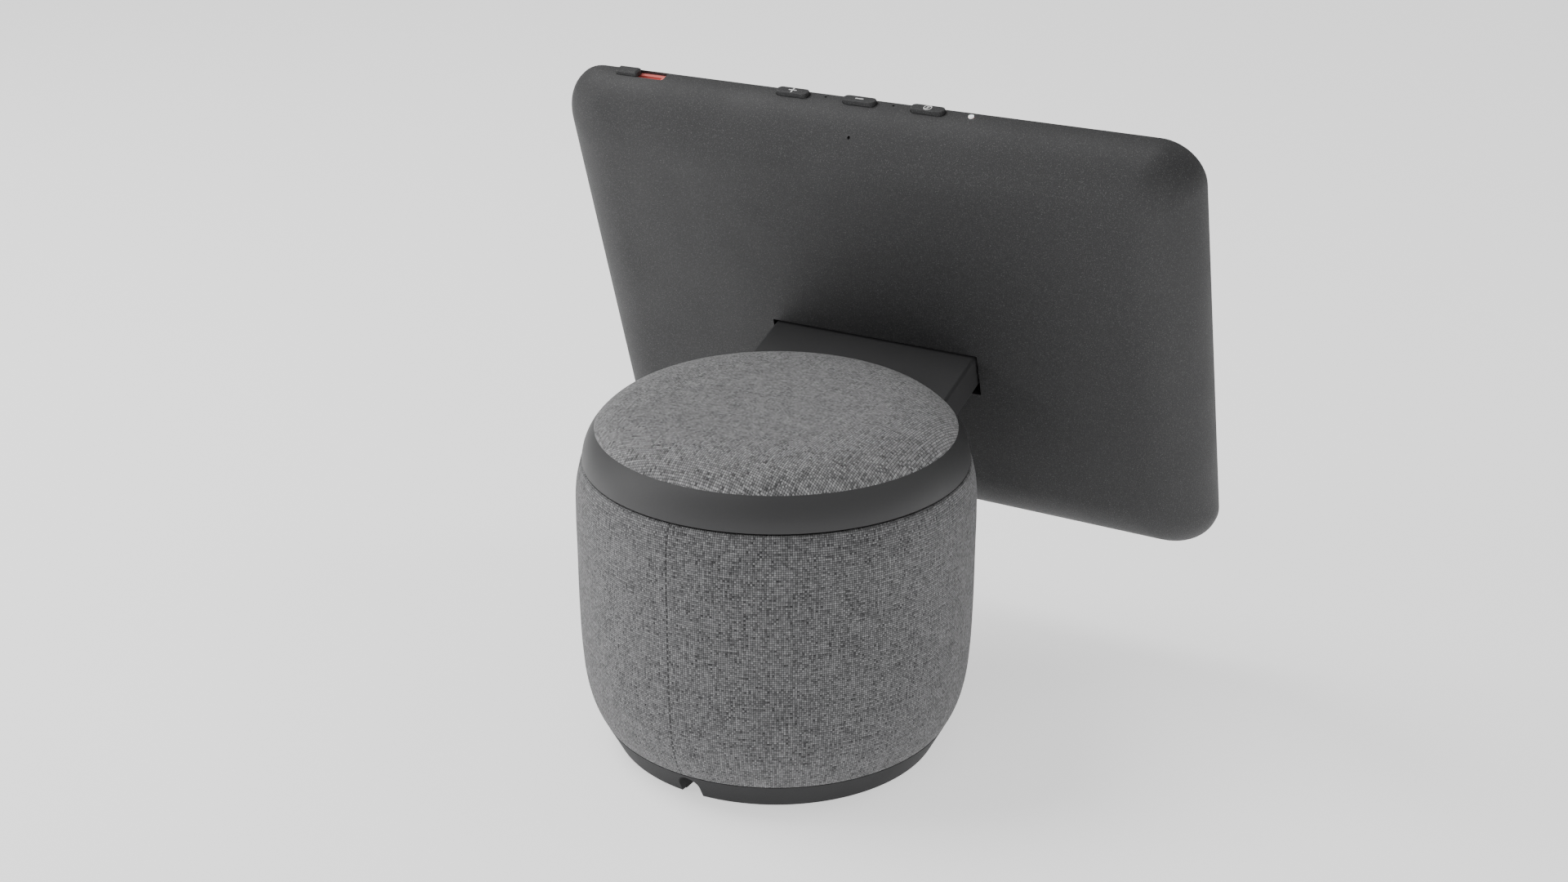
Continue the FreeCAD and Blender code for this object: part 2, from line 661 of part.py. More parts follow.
def hinge_bushes():
    hinge_y, hinge_z = hinge_centre()
    bushes = []
    for side in (-1, 1):
        ends = [(side * x, hinge_y, hinge_z) for x in (26.0, ARM_HALF_X - 2.6)]
        bushes.append(rod(3.2, *ends).cut(rod(SHAFT_R + RUNNING_FIT, *ends)))
    return group(bushes)


def top_cap():
    """Rigid dome under the fabric, with a spigot into the ring that clears the arm's frame."""
    spigot = post(RING_BORE_R - 0.2, 0, 0, 115.5, DOME_FOOT + 1)
    relief = box(-40.5, 40.5, -64, -38, 115, DOME_FOOT)
    return join(dome(DOME_SKIN), spigot.common(dome(DOME_SKIN, 115.0))).cut(relief)


def top_fabric():
    return dome(0.0).cut(dome(DOME_SKIN))


# ---- Tablet, in its own axes ---------------------------------------------------------------
def tablet_outline(inset, radius, depth):
    """Rounded rectangle across the tablet at one depth."""
    half, low, high = WIDTH / 2 - inset, inset, HEIGHT - inset
    centres = [(half - radius, low + radius, -90), (half - radius, high - radius, 0),
               (-half + radius, high - radius, 90), (-half + radius, low + radius, 180)]
    corners = []
    for x, v, start in centres:
        turns = [math.radians(start + a) for a in (0, 45, 90)]
        corners.append([Vec(x + radius * math.cos(t), depth, v + radius * math.sin(t))
                        for t in turns])
    edges = []
    for corner, following in zip(corners, corners[1:] + corners[:1]):
        edges.append(Part.Arc(*corner).toShape())
        edges.append(Part.makeLine(corner[-1], following[0]))
    return Part.Wire(edges)


def tablet_block(inset, front, back):
    """Solid of the tablet's shape with its elliptical back edges, drawn in by an even inset."""
    radius = CORNER_R - inset
    sections = [tablet_outline(inset, radius, front)]
    for step in range(ROUND_STEPS + 1):
        angle = math.pi / 2 * step / ROUND_STEPS
        shrink = ROUND_INSET * (1 - math.cos(angle))
        depth = ROUND_START + (back - ROUND_START) * math.sin(angle)
        sections.append(tablet_outline(inset + shrink, radius - 0.35 * shrink, depth))
    return Part.makeLoft(sections, True, True)


def slab(inset, radius, front, back):
    face = Part.Face(tablet_outline(inset, radius, front))
    return face.extrude(Vec(0, back - front, 0))


def rounded_bar(x0, x1, d0, d1, v0, v1, radius):
    """Upright bar with rounded vertical corners."""
    bar = box(x0, x1, d0, d1, v0, v1)
    uprights = [e for e in bar.Edges if abs(e.Length - (v1 - v0)) < 1e-6
                and abs(e.Vertexes[0].X - e.Vertexes[1].X) < 1e-6
                and abs(e.Vertexes[0].Y - e.Vertexes[1].Y) < 1e-6]
    return bar.makeFillet(radius, uprights)


def button_bar(name, grow, v0, v1):
    """Bar with a button's outline, grown by a gap."""
    width, depth = BUTTON_SIZE
    middle = BUTTON_X[name]
    return rounded_bar(middle - width / 2 - grow, middle + width / 2 + grow,
                       BUTTON_DEPTH - depth / 2 - grow, BUTTON_DEPTH + depth / 2 + grow,
                       v0, v1, depth / 2 - 0.1 + grow)


def well(grow, front, back):
    return box(-SLOT_HALF_X - grow, SLOT_HALF_X + grow, front, back,
               SLOT_LOW - grow, SLOT_HIGH + grow)


def rear_housing():
    """One-piece back: thin wall, slot with its well, screw bosses and top-edge openings."""
    outside = tablet_block(0.0, HOUSING_FRONT, THICK)
    hollow = tablet_block(RIM_WALL, HOUSING_FRONT - 1, THICK - HOUSING_WALL)
    bosses = [rod(3.0, (x, MID_BACK, v), (x, THICK - 1, v)) for x, v in BOSSES]
    ribs = [box(x, x + 2, 9, 18, BOARD_V[0] - 2, BOARD_V[0]) for x in (-50, -8, 44)]
    core = tablet_block(0.5, HOUSING_FRONT, THICK - 0.5)
    ribs = [rib.common(core) for rib in ribs]
    body = join(outside.cut(hollow), well(WELL_WALL, SLOT_FLOOR - WELL_WALL, THICK),
                *bosses, *ribs)
    tools = [well(0, SLOT_FLOOR, THICK + 1)]
    tools.append(rod(SHAFT_R + 0.4, (-46, HINGE_DEPTH, HINGE_V), (46, HINGE_DEPTH, HINGE_V)))
    tools += [rod(0.8, (x, MID_BACK - 1, v), (x, 16, v)) for x, v in BOSSES]
    tools += [button_bar(name, BUTTON_GAP, 167.0, HEIGHT + 2) for name in BUTTON_X]
    tools.append(rounded_bar(*TRACK_X, *TRACK_DEPTH, 167.0, HEIGHT + 2, 1.2))
    tools.append(post(1.05, LIGHT_X, LIGHT_DEPTH, 167, HEIGHT + 2))
    tools += [post(0.45, x, MIC_DEPTH, 167, HEIGHT + 2) for x in MIC_X]
    reset_x, reset_v = RESET_HOLE
    tools.append(rod(0.5, (reset_x, 12.0, reset_v), (reset_x, THICK + 1, reset_v)))
    return body.cut(tools)


def cover_glass():
    return slab(GLASS_INSET, CORNER_R - GLASS_INSET, 0.0, GLASS_THICK)


def lcd_panel():
    width, height, thick = LCD
    low = (HEIGHT - height) / 2
    return box(-width / 2, width / 2, GLASS_THICK, GLASS_THICK + thick, low, low + height)


def board_stand_places():
    return [(x, v) for x in (-98.0, -62.0) for v in (24.0, 146.0)]


def bracket_screw_places():
    return [(side * 56.0, v) for side in (-1, 1) for v in (63.0, 84.0)]


def mid_frame():
    """Stiff plate behind the screen; carries the boards and the hinge brackets."""
    plate = slab(RIM_WALL + 1.2, CORNER_R - 3.5, MID_FRONT, MID_BACK)
    plate = plate.common(box(-WIDTH, WIDTH, 0, THICK, 0, MID_TOP))
    stands = [rod(2.5, (x, MID_BACK - 0.5, v), (x, 9.0, v)) for x, v in board_stand_places()]
    stiffeners = [box(-100, 100, MID_BACK - 0.5, 8.5, v, v + 1.5) for v in (12.0, 154.5)]
    tools = [rod(1.2, (x, 0, v), (x, 20, v)) for x, v in BOSSES]
    tools += [rod(2.6, (x, 0, v), (x, MID_FRONT + 1.0, v)) for x, v in BOSSES]
    tools += [rod(1.0, (x, MID_BACK - 2.0, v), (x, 20, v)) for x, v in board_stand_places()]
    tools += [rod(1.3, (x, 0, v), (x, 20, v)) for x, v in bracket_screw_places()]
    return join(plate, *stands, *stiffeners).cut(tools)


def depth_screw(x, v, head, tip, head_r, head_h, shank_r):
    """Screw along the tablet's depth; its head lies on the far side of `head` from the tip."""
    away = head + math.copysign(head_h, head - tip)
    return join(rod(shank_r, (x, head, v), (x, tip, v)), rod(head_r, (x, head, v), (x, away, v)))


def frame_screws():
    return group([depth_screw(x, v, MID_FRONT + 1.0, 14.0, 2.4, 0.95, 0.8) for x, v in BOSSES])


def main_board():
    board = box(-102, -59, 9.0, 10.2, 20, 150)
    parts = [box(-90, -76, 10.2, 12.2, 26, 44), box(-84, -66, 10.2, 11.8, 118, 128),
             box(-72, -60, 10.2, 13.5, 132, 142), box(-95, -88, 10.2, 12.4, 130, 142)]
    holes = [rod(1.0, (x, 8, v), (x, 12, v)) for x, v in board_stand_places()]
    return join(board, *parts).cut(holes)


def board_shield():
    """Folded steel can over the processor."""
    can = box(-96, -62, 10.2, 13.4, 52, 108)
    return can.cut(box(-95.6, -62.4, 9, 13.0, 52.4, 107.6))


def board_screws():
    return group([depth_screw(x, v, 10.2, 4.7, 2.0, 1.0, 0.95) for x, v in board_stand_places()])


def hinge_bracket(side):
    """Steel bracket: a foot on the mid frame and an ear that grips the hinge shaft."""
    foot = box(44.5, 60, MID_BACK, 8.0, 58.5, 88.5)
    ear = box(44.5, 50.5, MID_BACK, HINGE_DEPTH, 66.0, 80.8)
    round_end = rod(2.9, (44.5, HINGE_DEPTH, HINGE_V), (50.5, HINGE_DEPTH, HINGE_V))
    bore = rod(SHAFT_R, (40, HINGE_DEPTH, HINGE_V), (60, HINGE_DEPTH, HINGE_V))
    holes = [rod(1.3, (56.0, 0, v), (56.0, 12, v)) for v in (63.0, 84.0)]
    bracket = join(foot, ear, round_end).cut([bore] + holes)
    return bracket if side > 0 else bracket.mirror(Vec(0, 0, 0), Vec(1, 0, 0))


def bracket_screws():
    return group([depth_screw(x, v, 8.0, 4.7, 2.2, 1.3, 1.25) for x, v in bracket_screw_places()])


def hinge_shaft():
    return rod(SHAFT_R, (-SHAFT_HALF, HINGE_DEPTH, HINGE_V), (SHAFT_HALF, HINGE_DEPTH, HINGE_V))


def friction_washers():
    washers = []
    for side in (-1, 1):
        ends = [(side * x, HINGE_DEPTH, HINGE_V) for x in (ARM_HALF_X + 0.1, SLOT_HALF_X - 0.1)]
        washers.append(rod(4.8, *ends).cut(rod(SHAFT_R, *ends)))
    return group(washers)


def button(name):
    """Cap with a hidden flange that stops it inside the housing."""
    middle = BUTTON_X[name]
    cap = button_bar(name, 0.0, CAP_UNDERSIDE, BUTTON_TOP)
    top = [e for e in cap.Edges if e.CenterOfMass.z > BUTTON_TOP - 0.01]
    stem = box(middle - 5.0, middle + 5.0, STEM_FRONT, 4.7, 166.0, CAP_UNDERSIDE + 0.3)
    flange = box(middle - 8.0, middle + 8.0, 3.0, 6.0, 166.0, 167.0)
    return join(cap.makeFillet(0.4, top), stem, flange)


def button_board():
    """Strip under the top edge with a switch below each button."""
    board = box(-56, 50, 2.6, 12.5, *BOARD_V)
    switches = [box(x - 3, x + 3, 2.9, 6.9, BOARD_V[1] - 0.2, 165.2) for x in BUTTON_X.values()]
    return join(board, *switches)


def status_light_guide():
    return post(1.0, LIGHT_X, LIGHT_DEPTH, BOARD_V[1], HEIGHT)


def shutter_track():
    """Red tray in the top edge, slotted for the slider's stem."""
    front, back = TRACK_DEPTH
    left, right = TRACK_X
    tray = box(left - 1.5, right + 1.5, STEM_FRONT, 6.8, 165.6, 166.8)
    neck = box(left + 0.5, right - 0.5, STEM_FRONT, back - 0.5, 165.6, TRACK_FLOOR[1])
    floor = rounded_bar(left + 0.1, right - 0.1, front + 0.1, back - 0.1, *TRACK_FLOOR, 1.1)
    return join(tray, neck, floor).cut(box(83.6, 99.6, 2.65, 4.0, 160, 172))


def shutter_slider():
    """Raised thumb piece and its stem."""
    cap = rounded_bar(*SLIDER_X, TRACK_DEPTH[0] + SLIDER_GAP, TRACK_DEPTH[1] - SLIDER_GAP,
                      169.7, SLIDER_TOP, 1.0)
    top = [e for e in cap.Edges if e.CenterOfMass.z > SLIDER_TOP - 0.01]
    stem = box(94.8, 99.0, 2.95, 3.7, 165.4, 170.5)
    return join(cap.makeChamfer(0.6, top), stem)


def shutter_blade():
    """Thin plate in front of the lens, carried by the stem."""
    return box(88.0, 99.0, 2.95, 3.45, 160.1, 165.4)


def camera_module():
    body = box(CAMERA_X - 3.5, CAMERA_X + 3.5, 5.2, 9.6, CAMERA_V - 3.4, CAMERA_V + 3.4)
    lens = rod(1.8, (CAMERA_X, 4.1, CAMERA_V), (CAMERA_X, 6.0, CAMERA_V))
    tab = box(CAMERA_X - 5, CAMERA_X + 5, MID_BACK, 7.0, 156.2, CAMERA_V)
    return join(body, lens, tab)


# ---- All pieces ----------------------------------------------------------------------------
FIXED = {
    "rubber_foot": rubber_foot, "foot_shell": foot_shell, "foot_screws": foot_screws,
    "counterweight": counterweight, "dc_jack": dc_jack, "fabric_sleeve": fabric_sleeve,
    "grille_cage": grille_cage, "speaker_box": speaker_box, "woofer_basket": woofer_basket,
    "woofer_cone": woofer_cone, "woofer_magnet": woofer_magnet, "tweeters": tweeters,
    "power_board": power_board, "pivot_harness": pivot_harness, "upper_deck": upper_deck,
    "deck_screws": deck_screws, "glide_ring": glide_ring, "spindle_clip": spindle_clip,
    "swivel_motor": swivel_motor, "motor_screws": motor_screws, "motor_pinion": motor_pinion,
    "ring_gear": ring_gear, "turret_plate": turret_plate, "hub_bush": hub_bush,
    "gear_screws": gear_screws, "swivel_ring": swivel_ring, "ring_screws": ring_screws,
    "arm_lower_cover": arm_lower_cover, "arm_frame": arm_frame, "arm_screws": arm_screws,
    "hinge_bushes": hinge_bushes, "top_cap": top_cap, "top_fabric": top_fabric,
}
LEANED = {
    "rear_housing": rear_housing, "cover_glass": cover_glass, "lcd_panel": lcd_panel,
    "mid_frame": mid_frame, "frame_screws": frame_screws, "main_board": main_board,
    "board_shield": board_shield, "board_screws": board_screws,
    "hinge_bracket_left": lambda: hinge_bracket(-1),
    "hinge_bracket_right": lambda: hinge_bracket(1),
    "bracket_screws": bracket_screws, "hinge_shaft": hinge_shaft,
    "friction_washers": friction_washers, "button_board": button_board,
    "status_light_guide": status_light_guide, "shutter_track": shutter_track,
    "shutter_slider": shutter_slider, "shutter_blade": shutter_blade,
    "camera_module": camera_module,
}


def main():
    os.makedirs("parts", exist_ok=True)
    pieces = {name: make() for name, make in FIXED.items()}
    pieces.update({name: lean(make()) for name, make in LEANED.items()})
    pieces.update({name: lean(button(name)) for name in BUTTON_X})
    for name, shape in pieces.items():
        print(f"{name}: {len(shape.Solids)} solids, {shape.Volume / 1000:.2f} cm3,"
              f" valid {shape.isValid()}")
        shape.exportStep(f"parts/{name}.step")
    print("hinge at", [round(c, 3) for c in hinge_centre()])


main()
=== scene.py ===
# %% [markdown]
# This is a smart display: a tablet on an arm that turns on a fabric-covered speaker. All of it
# could be drawn again from nothing, but then nothing would promise that the pieces fit or move.
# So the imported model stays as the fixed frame, and only the skins that show are drawn again.

# %% Load the frame
import bmesh
import bpy
import json
import math
from mathutils import Matrix, Vector


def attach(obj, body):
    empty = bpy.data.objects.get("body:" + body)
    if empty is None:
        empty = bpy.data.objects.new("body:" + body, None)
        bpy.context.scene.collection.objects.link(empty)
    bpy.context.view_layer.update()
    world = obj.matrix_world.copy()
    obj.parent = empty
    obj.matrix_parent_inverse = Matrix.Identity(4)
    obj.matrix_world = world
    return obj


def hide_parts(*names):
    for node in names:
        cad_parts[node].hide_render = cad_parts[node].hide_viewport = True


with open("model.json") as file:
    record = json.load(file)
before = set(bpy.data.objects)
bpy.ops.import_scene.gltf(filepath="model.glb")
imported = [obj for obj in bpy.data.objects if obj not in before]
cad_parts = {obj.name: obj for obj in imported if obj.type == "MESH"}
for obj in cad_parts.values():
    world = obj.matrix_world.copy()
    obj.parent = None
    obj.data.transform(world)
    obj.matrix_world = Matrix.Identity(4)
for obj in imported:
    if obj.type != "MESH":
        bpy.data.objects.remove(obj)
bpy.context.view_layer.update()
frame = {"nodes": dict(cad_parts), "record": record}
nodes = frame["nodes"]
record = frame["record"]
joints = {joint["name"]: joint for joint in record["behaviour"]["joints"]}
slot_of = {part["node"]: part["material_slot"] for part in record["subparts"]}
MM = 0.001

# %% [markdown]
# The tablet leans back on its arm. Its pieces could be drawn leaning, with every number turned
# by hand. It is easier to draw them upright in the tablet's own axes, x along it, y from its
# glass to its back and z up the screen, and to let one matrix lean them all. The buttons' travel
# gives the lean, and the tilt hinge gives the place.

# %% Tablet axes
WIDTH, HEIGHT, THICK = 251.0, 170.9, 20.0
HINGE_DEPTH, HINGE_V = 15.0, 73.4
across = Vector((1, 0, 0))
up = -Vector(joints["volume_up_press"]["axis"]).normalized()
back = up.cross(across)
corner = Vector(joints["tilt"]["pos_m"]) - back * HINGE_DEPTH * MM - up * HINGE_V * MM
TABLET = Matrix.Translation(corner) @ Matrix((across, back, up)).transposed().to_4x4()
TABLET = TABLET @ Matrix.Scale(MM, 4)
ROW = Matrix.Scale(MM, 4)
print("tablet corner", [round(c, 4) for c in corner])

# %% [markdown]
# The camera stands behind the display, a little to its right and above it. It could be aimed at
# a target with a constraint, but a bearing, a reach and a dip can be read and changed on their
# own, so they are given as plain numbers.

# %% Camera
CAMERA_BEARING = math.radians(209.65)
CAMERA_REACH = 0.70092
CAMERA_HEIGHT = 0.39979
CAMERA_DIP = math.radians(22.41)
CAMERA_PAN = math.radians(0.22)
CAMERA_LENS = 50.175
CAMERA_SENSOR = 36.0
lens = bpy.data.cameras.new("camera")
lens.lens = CAMERA_LENS
lens.sensor_width = CAMERA_SENSOR
camera = bpy.data.objects.new("camera", lens)
camera.location = (CAMERA_REACH * math.sin(CAMERA_BEARING),
                   -CAMERA_REACH * math.cos(CAMERA_BEARING), CAMERA_HEIGHT)
camera.rotation_euler = (math.pi / 2 - CAMERA_DIP, 0, CAMERA_BEARING - CAMERA_PAN)
bpy.context.collection.objects.link(camera)
bpy.context.scene.camera = camera
print("camera at", [round(c, 3) for c in camera.location])

# %% [markdown]
# The moulded shells change outline from layer to layer. A bevelled box could stand in for them,
# but its edges wouldn't bow, so each is a skin over a stack of outlines. Shapes are drawn in
# millimetres and moved into the row frame, in metres, when they become objects, so that every
# object sits at the origin.


# %% Mesh helpers
def finish_mesh(bm, name, place, sharp=35):
    """Object from a bmesh drawn in millimetres; place is TABLET or ROW."""
    bmesh.ops.recalc_face_normals(bm, faces=bm.faces)
    mesh = bpy.data.meshes.new(name)
    bm.to_mesh(mesh)
    bm.free()
    mesh.transform(place)
    mesh.polygons.foreach_set("use_smooth", [True] * len(mesh.polygons))
    mesh.set_sharp_from_angle(angle=math.radians(sharp))
    piece = bpy.data.objects.new(name, mesh)
    bpy.context.collection.objects.link(piece)
    return piece


def ring(bm, points):
    return [bm.verts.new(point) for point in points]


def bridge(bm, first, second):
    """Quads between two rings of the same length."""
    count = len(first)
    for i in range(count):
        j = (i + 1) % count
        bm.faces.new((first[i], first[j], second[j], second[i]))


def tube_of(bm, rings, close_ends=True):
    """Skin over a list of rings, with a face on each end."""
    loops = [ring(bm, points) for points in rings]
    for first, second in zip(loops, loops[1:]):
        bridge(bm, first, second)
    if close_ends:
        bm.faces.new(loops[0])
        bm.faces.new(list(reversed(loops[-1])))
    return loops


def rounded_rectangle(half_x, half_z, radius, steps=8):
    """Outline points (x, z) about a centre, counter-clockwise."""
    points = []
    for sx, sz, start in ((1, -1, -90), (1, 1, 0), (-1, 1, 90), (-1, -1, 180)):
        for step in range(steps + 1):
            turn = math.radians(start + 90 * step / steps)
            points.append((sx * (half_x - radius) + radius * math.cos(turn),
                           sz * (half_z - radius) + radius * math.sin(turn)))
    return points


def cut(piece, cutters):
    """Cut each cutter out of the piece and throw the cutters away."""
    for cutter in cutters:
        change = piece.modifiers.new("cut", "BOOLEAN")
        change.operation = "DIFFERENCE"
        change.solver = "EXACT"
        change.object = cutter
    graph = bpy.context.evaluated_depsgraph_get()
    result = bpy.data.meshes.new_from_object(piece.evaluated_get(graph))
    piece.modifiers.clear()
    piece.data = result
    for cutter in cutters:
        bpy.data.objects.remove(cutter)
    result.set_sharp_from_angle(angle=math.radians(35))


print("mesh helpers ready")

# %% [markdown]
# Several surfaces share the same fine detail: the spark-eroded grain that a mould leaves on
# plastic, and the plain weave of the cloth. Each could be built again in every material. A
# shader group is built once and given its own values in each. The weave could be painted, but
# threads that are worked out stay sharp from near by, and each can have its own shade.


# %% Shader groups
def wire(tree, value, socket):
    """A number is set on the socket; anything else is linked to it."""
    if isinstance(value, bpy.types.NodeSocket):
        tree.links.new(value, socket)
    else:
        socket.default_value = value


def calc(tree, operation, *values):
    node = tree.nodes.new("ShaderNodeMath")
    node.operation = operation
    for value, socket in zip(values, node.inputs):
        wire(tree, value, socket)
    return node.outputs[0]


def blend_values(tree, share, low, high):
    node = tree.nodes.new("ShaderNodeMix")
    wire(tree, share, node.inputs["Factor"])
    wire(tree, low, node.inputs["A"])
    wire(tree, high, node.inputs["B"])
    return node.outputs["Result"]


def remap(tree, value, low, high, start=0.0, end=1.0):
    node = tree.nodes.new("ShaderNodeMapRange")
    for socket, item in zip(node.inputs, (value, low, high, start, end)):
        wire(tree, item, socket)
    return node.outputs["Result"]


def noise(tree, vector, scale, detail=2.0, rough=0.5):
    node = tree.nodes.new("ShaderNodeTexNoise")
    wire(tree, vector, node.inputs["Vector"])
    wire(tree, scale, node.inputs["Scale"])
    node.inputs["Detail"].default_value = detail
    node.inputs["Roughness"].default_value = rough
    return node.outputs["Fac"]


def random_value(tree, vector):
    """One random number for each different vector."""
    node = tree.nodes.new("ShaderNodeTexWhiteNoise")
    tree.links.new(vector, node.inputs["Vector"])
    return node.outputs["Value"]


def combine(tree, x, y, z=0.0):
    node = tree.nodes.new("ShaderNodeCombineXYZ")
    for value, socket in zip((x, y, z), node.inputs):
        wire(tree, value, socket)
    return node.outputs[0]


def new_group(name, inputs, outputs):
    tree = bpy.data.node_groups.new(name, "ShaderNodeTree")
    for label, kind, default in inputs:
        socket = tree.interface.new_socket(label, in_out="INPUT", socket_type=kind)
        if default is not None:
            socket.default_value = default
    for label, kind in outputs:
        tree.interface.new_socket(label, in_out="OUTPUT", socket_type=kind)
    source = tree.nodes.new("NodeGroupInput")
    sink = tree.nodes.new("NodeGroupOutput")
    return tree, source.outputs, sink.inputs


GRAIN_SCALE, SPECK_SCALE, SMUDGE_SCALE = 2600.0, 3900.0, 28.0
DRIFT_SCALE = 0.05        # how slowly the threads wander off their lines
STREAK_STRETCH = 0.18     # how slowly a thread's shade changes along it
SPOT_SHARE = 0.20         # how much of the shade is each crossing's own
START_SPREAD = 900.0      # how far apart the threads' shades start
WARP_START, WEFT_START = 3.5, 41.5


def grain_group():
    """Fine spark-eroded grain: a bumpy height, pale specks and slow smudges."""
    tree, source, sink = new_group(
        "moulded_grain", [("Place", "NodeSocketVector", None), ("Scale", "NodeSocketFloat", 1.0)],
        [("Height", "NodeSocketFloat"), ("Specks", "NodeSocketFloat"),
         ("Smudge", "NodeSocketFloat")])
    scale = source["Scale"]
    height = noise(tree, source["Place"], calc(tree, "MULTIPLY", scale, GRAIN_SCALE), 3.0, 0.6)
    fine = noise(tree, source["Place"], calc(tree, "MULTIPLY", scale, SPECK_SCALE), 1.0)
    tree.links.new(height, sink["Height"])
    tree.links.new(remap(tree, fine, 0.58, 0.74), sink["Specks"])
    tree.links.new(noise(tree, source["Place"], SMUDGE_SCALE, 4.0, 0.55), sink["Smudge"])
    return tree


def weave_group():
    """Plain weave over a plane measured in threads; the tone wanders along each thread."""
    tree, source, sink = new_group(
        "plain_weave", [("Threads", "NodeSocketVector", None)],
        [("Tone", "NodeSocketFloat"), ("Height", "NodeSocketFloat")])
    split = tree.nodes.new("ShaderNodeSeparateXYZ")
    tree.links.new(source["Threads"], split.inputs[0])
    drift = noise(tree, source["Threads"], DRIFT_SCALE, 2.0)
    x = calc(tree, "ADD", split.outputs[0], drift)
    y = calc(tree, "SUBTRACT", split.outputs[1], drift)
    cell_x, cell_y = calc(tree, "FLOOR", x), calc(tree, "FLOOR", y)
    arch_x = calc(tree, "SINE", calc(tree, "MULTIPLY", calc(tree, "FRACT", x), math.pi))
    arch_y = calc(tree, "SINE", calc(tree, "MULTIPLY", calc(tree, "FRACT", y), math.pi))
    over = calc(tree, "FLOORED_MODULO", calc(tree, "ADD", cell_x, cell_y), 2.0)

    def thread(round_across, rise_along):
        crown = calc(tree, "POWER", round_across, 0.6)
        lift = calc(tree, "MULTIPLY_ADD", rise_along, 0.45, 0.55)
        return calc(tree, "MULTIPLY", crown, lift)

    def yarn_shade(cell, along, offset):
        """Shade that wanders along one thread from its own random start."""
        own = random_value(tree, combine(tree, cell, offset))
        start = calc(tree, "MULTIPLY", own, START_SPREAD)
        run = calc(tree, "MULTIPLY", along, STREAK_STRETCH)
        streak = noise(tree, combine(tree, start, run, offset), 1.0, 2.0, 0.7)
        spot = random_value(tree, combine(tree, cell_x, cell_y))
        return blend_values(tree, SPOT_SHARE, streak, spot)

    warp_shade = yarn_shade(cell_x, y, WARP_START)
    weft_shade = yarn_shade(cell_y, x, WEFT_START)
    tone = blend_values(tree, over, weft_shade, warp_shade)
    height = blend_values(tree, over, thread(arch_y, arch_x), thread(arch_x, arch_y))
    tree.links.new(remap(tree, tone, 0.30, 0.70), sink["Tone"])
    tree.links.new(height, sink["Height"])
    return tree


GRAIN = grain_group()
WEAVE = weave_group()
print("shader groups", GRAIN.name, WEAVE.name)

# %% [markdown]
# The pieces are moulded plastic, worked metal, cloth, board and glass. A plain colour on each
# would look like a toy, because real surfaces change a little from place to place. So each
# material starts from a Principled shader and object coordinates, and adds its own detail.


# %% Material helpers
def start_material(name):
    """New material; returns it with its tree, its shader's inputs and object coordinates."""
    material = bpy.data.materials.new(name)
    material.use_nodes = True
    tree = material.node_tree
    shader = tree.nodes["Principled BSDF"]
    place = tree.nodes.new("ShaderNodeTexCoord").outputs["Object"]
    return material, tree, shader.inputs, place


def mix_colours(tree, share, low, high):
    node = tree.nodes.new("ShaderNodeMix")
    node.data_type = "RGBA"
    sockets = [s for s in node.inputs if s.enabled]
    for value, socket in zip((share, low, high), sockets):
        if isinstance(value, tuple):
            value = (*value, 1.0)
        wire(tree, value, socket)
    return [s for s in node.outputs if s.enabled][0]


def bump(tree, height, depth, strength=1.0):
    node = tree.nodes.new("ShaderNodeBump")
    node.inputs["Strength"].default_value = strength
    node.inputs["Distance"].default_value = depth
    tree.links.new(height, node.inputs["Height"])
    return node.outputs["Normal"]


def use_group(tree, group, **values):
    node = tree.nodes.new("ShaderNodeGroup")
    node.node_tree = group
    for label, value in values.items():
        wire(tree, value, node.inputs[label])
    return node.outputs


def moulded_plastic(name, colour, speck=(0.2, 0.2, 0.2), specks=0.5, roughness=0.6, scale=1.0,
                    depth=0.00012):
    """Moulded plastic with a spark-eroded grain."""
    material, tree, shader, place = start_material(name)
    grain = use_group(tree, GRAIN, Place=place, Scale=scale)
    smudged = mix_colours(tree, calc(tree, "MULTIPLY", grain["Smudge"], 0.5), colour,
                          tuple(c * 1.35 for c in colour))
    share = calc(tree, "MULTIPLY", grain["Specks"], specks)
    tree.links.new(mix_colours(tree, share, smudged, speck), shader["Base Color"])
    tree.links.new(remap(tree, grain["Smudge"], 0.3, 0.7, roughness - 0.05, roughness + 0.06),
                   shader["Roughness"])
    tree.links.new(bump(tree, grain["Height"], depth), shader["Normal"])
    return material


EVEN = (1.0, 1.0, 1.0)


def worked_metal(name, colour, roughness, stretch=(1.0, 1.0, 18.0)):
    """Metal with fine drawn lines along one axis and a faint patchy oxide."""
    material, tree, shader, place = start_material(name)
    mapping = tree.nodes.new("ShaderNodeMapping")
    tree.links.new(place, mapping.inputs["Vector"])
    mapping.inputs["Scale"].default_value = stretch
    lines = noise(tree, mapping.outputs[0], 900.0, 4.0, 0.7)
    patches = noise(tree, place, 60.0, 3.0)
    dull = tuple(c * 0.72 for c in colour)
    tree.links.new(mix_colours(tree, remap(tree, patches, 0.35, 0.7), colour, dull),
                   shader["Base Color"])
    shader["Metallic"].default_value = 1.0
    tree.links.new(remap(tree, lines, 0.2, 0.8, roughness - 0.08, roughness + 0.12),
                   shader["Roughness"])
    tree.links.new(bump(tree, lines, 0.00002, 0.6), shader["Normal"])
    return material


print("material helpers ready")

# %% [markdown]
# The cloth is a plain weave of grey melange threads, dark in the gaps, with a soft fuzz. Real
# threads could be modelled, but there are tens of thousands. A woven pattern with a bump and a
# little sheen shows the same. The sleeve counts threads along its own unrolled surface, and the
# top disc counts them across a flat plane. The top disc's copy of the cloth is made lighter than
# the sleeve's, which is painted light on the face that looks up.


# %% Fabric material
THREAD_PITCH = 0.76 * MM
SEAM_HALF = 0.26 * MM
STITCH = 2.2 * MM
STITCH_GAP = 0.35
GAP_SHADE, SEAM_SHADE = 0.25, 0.6


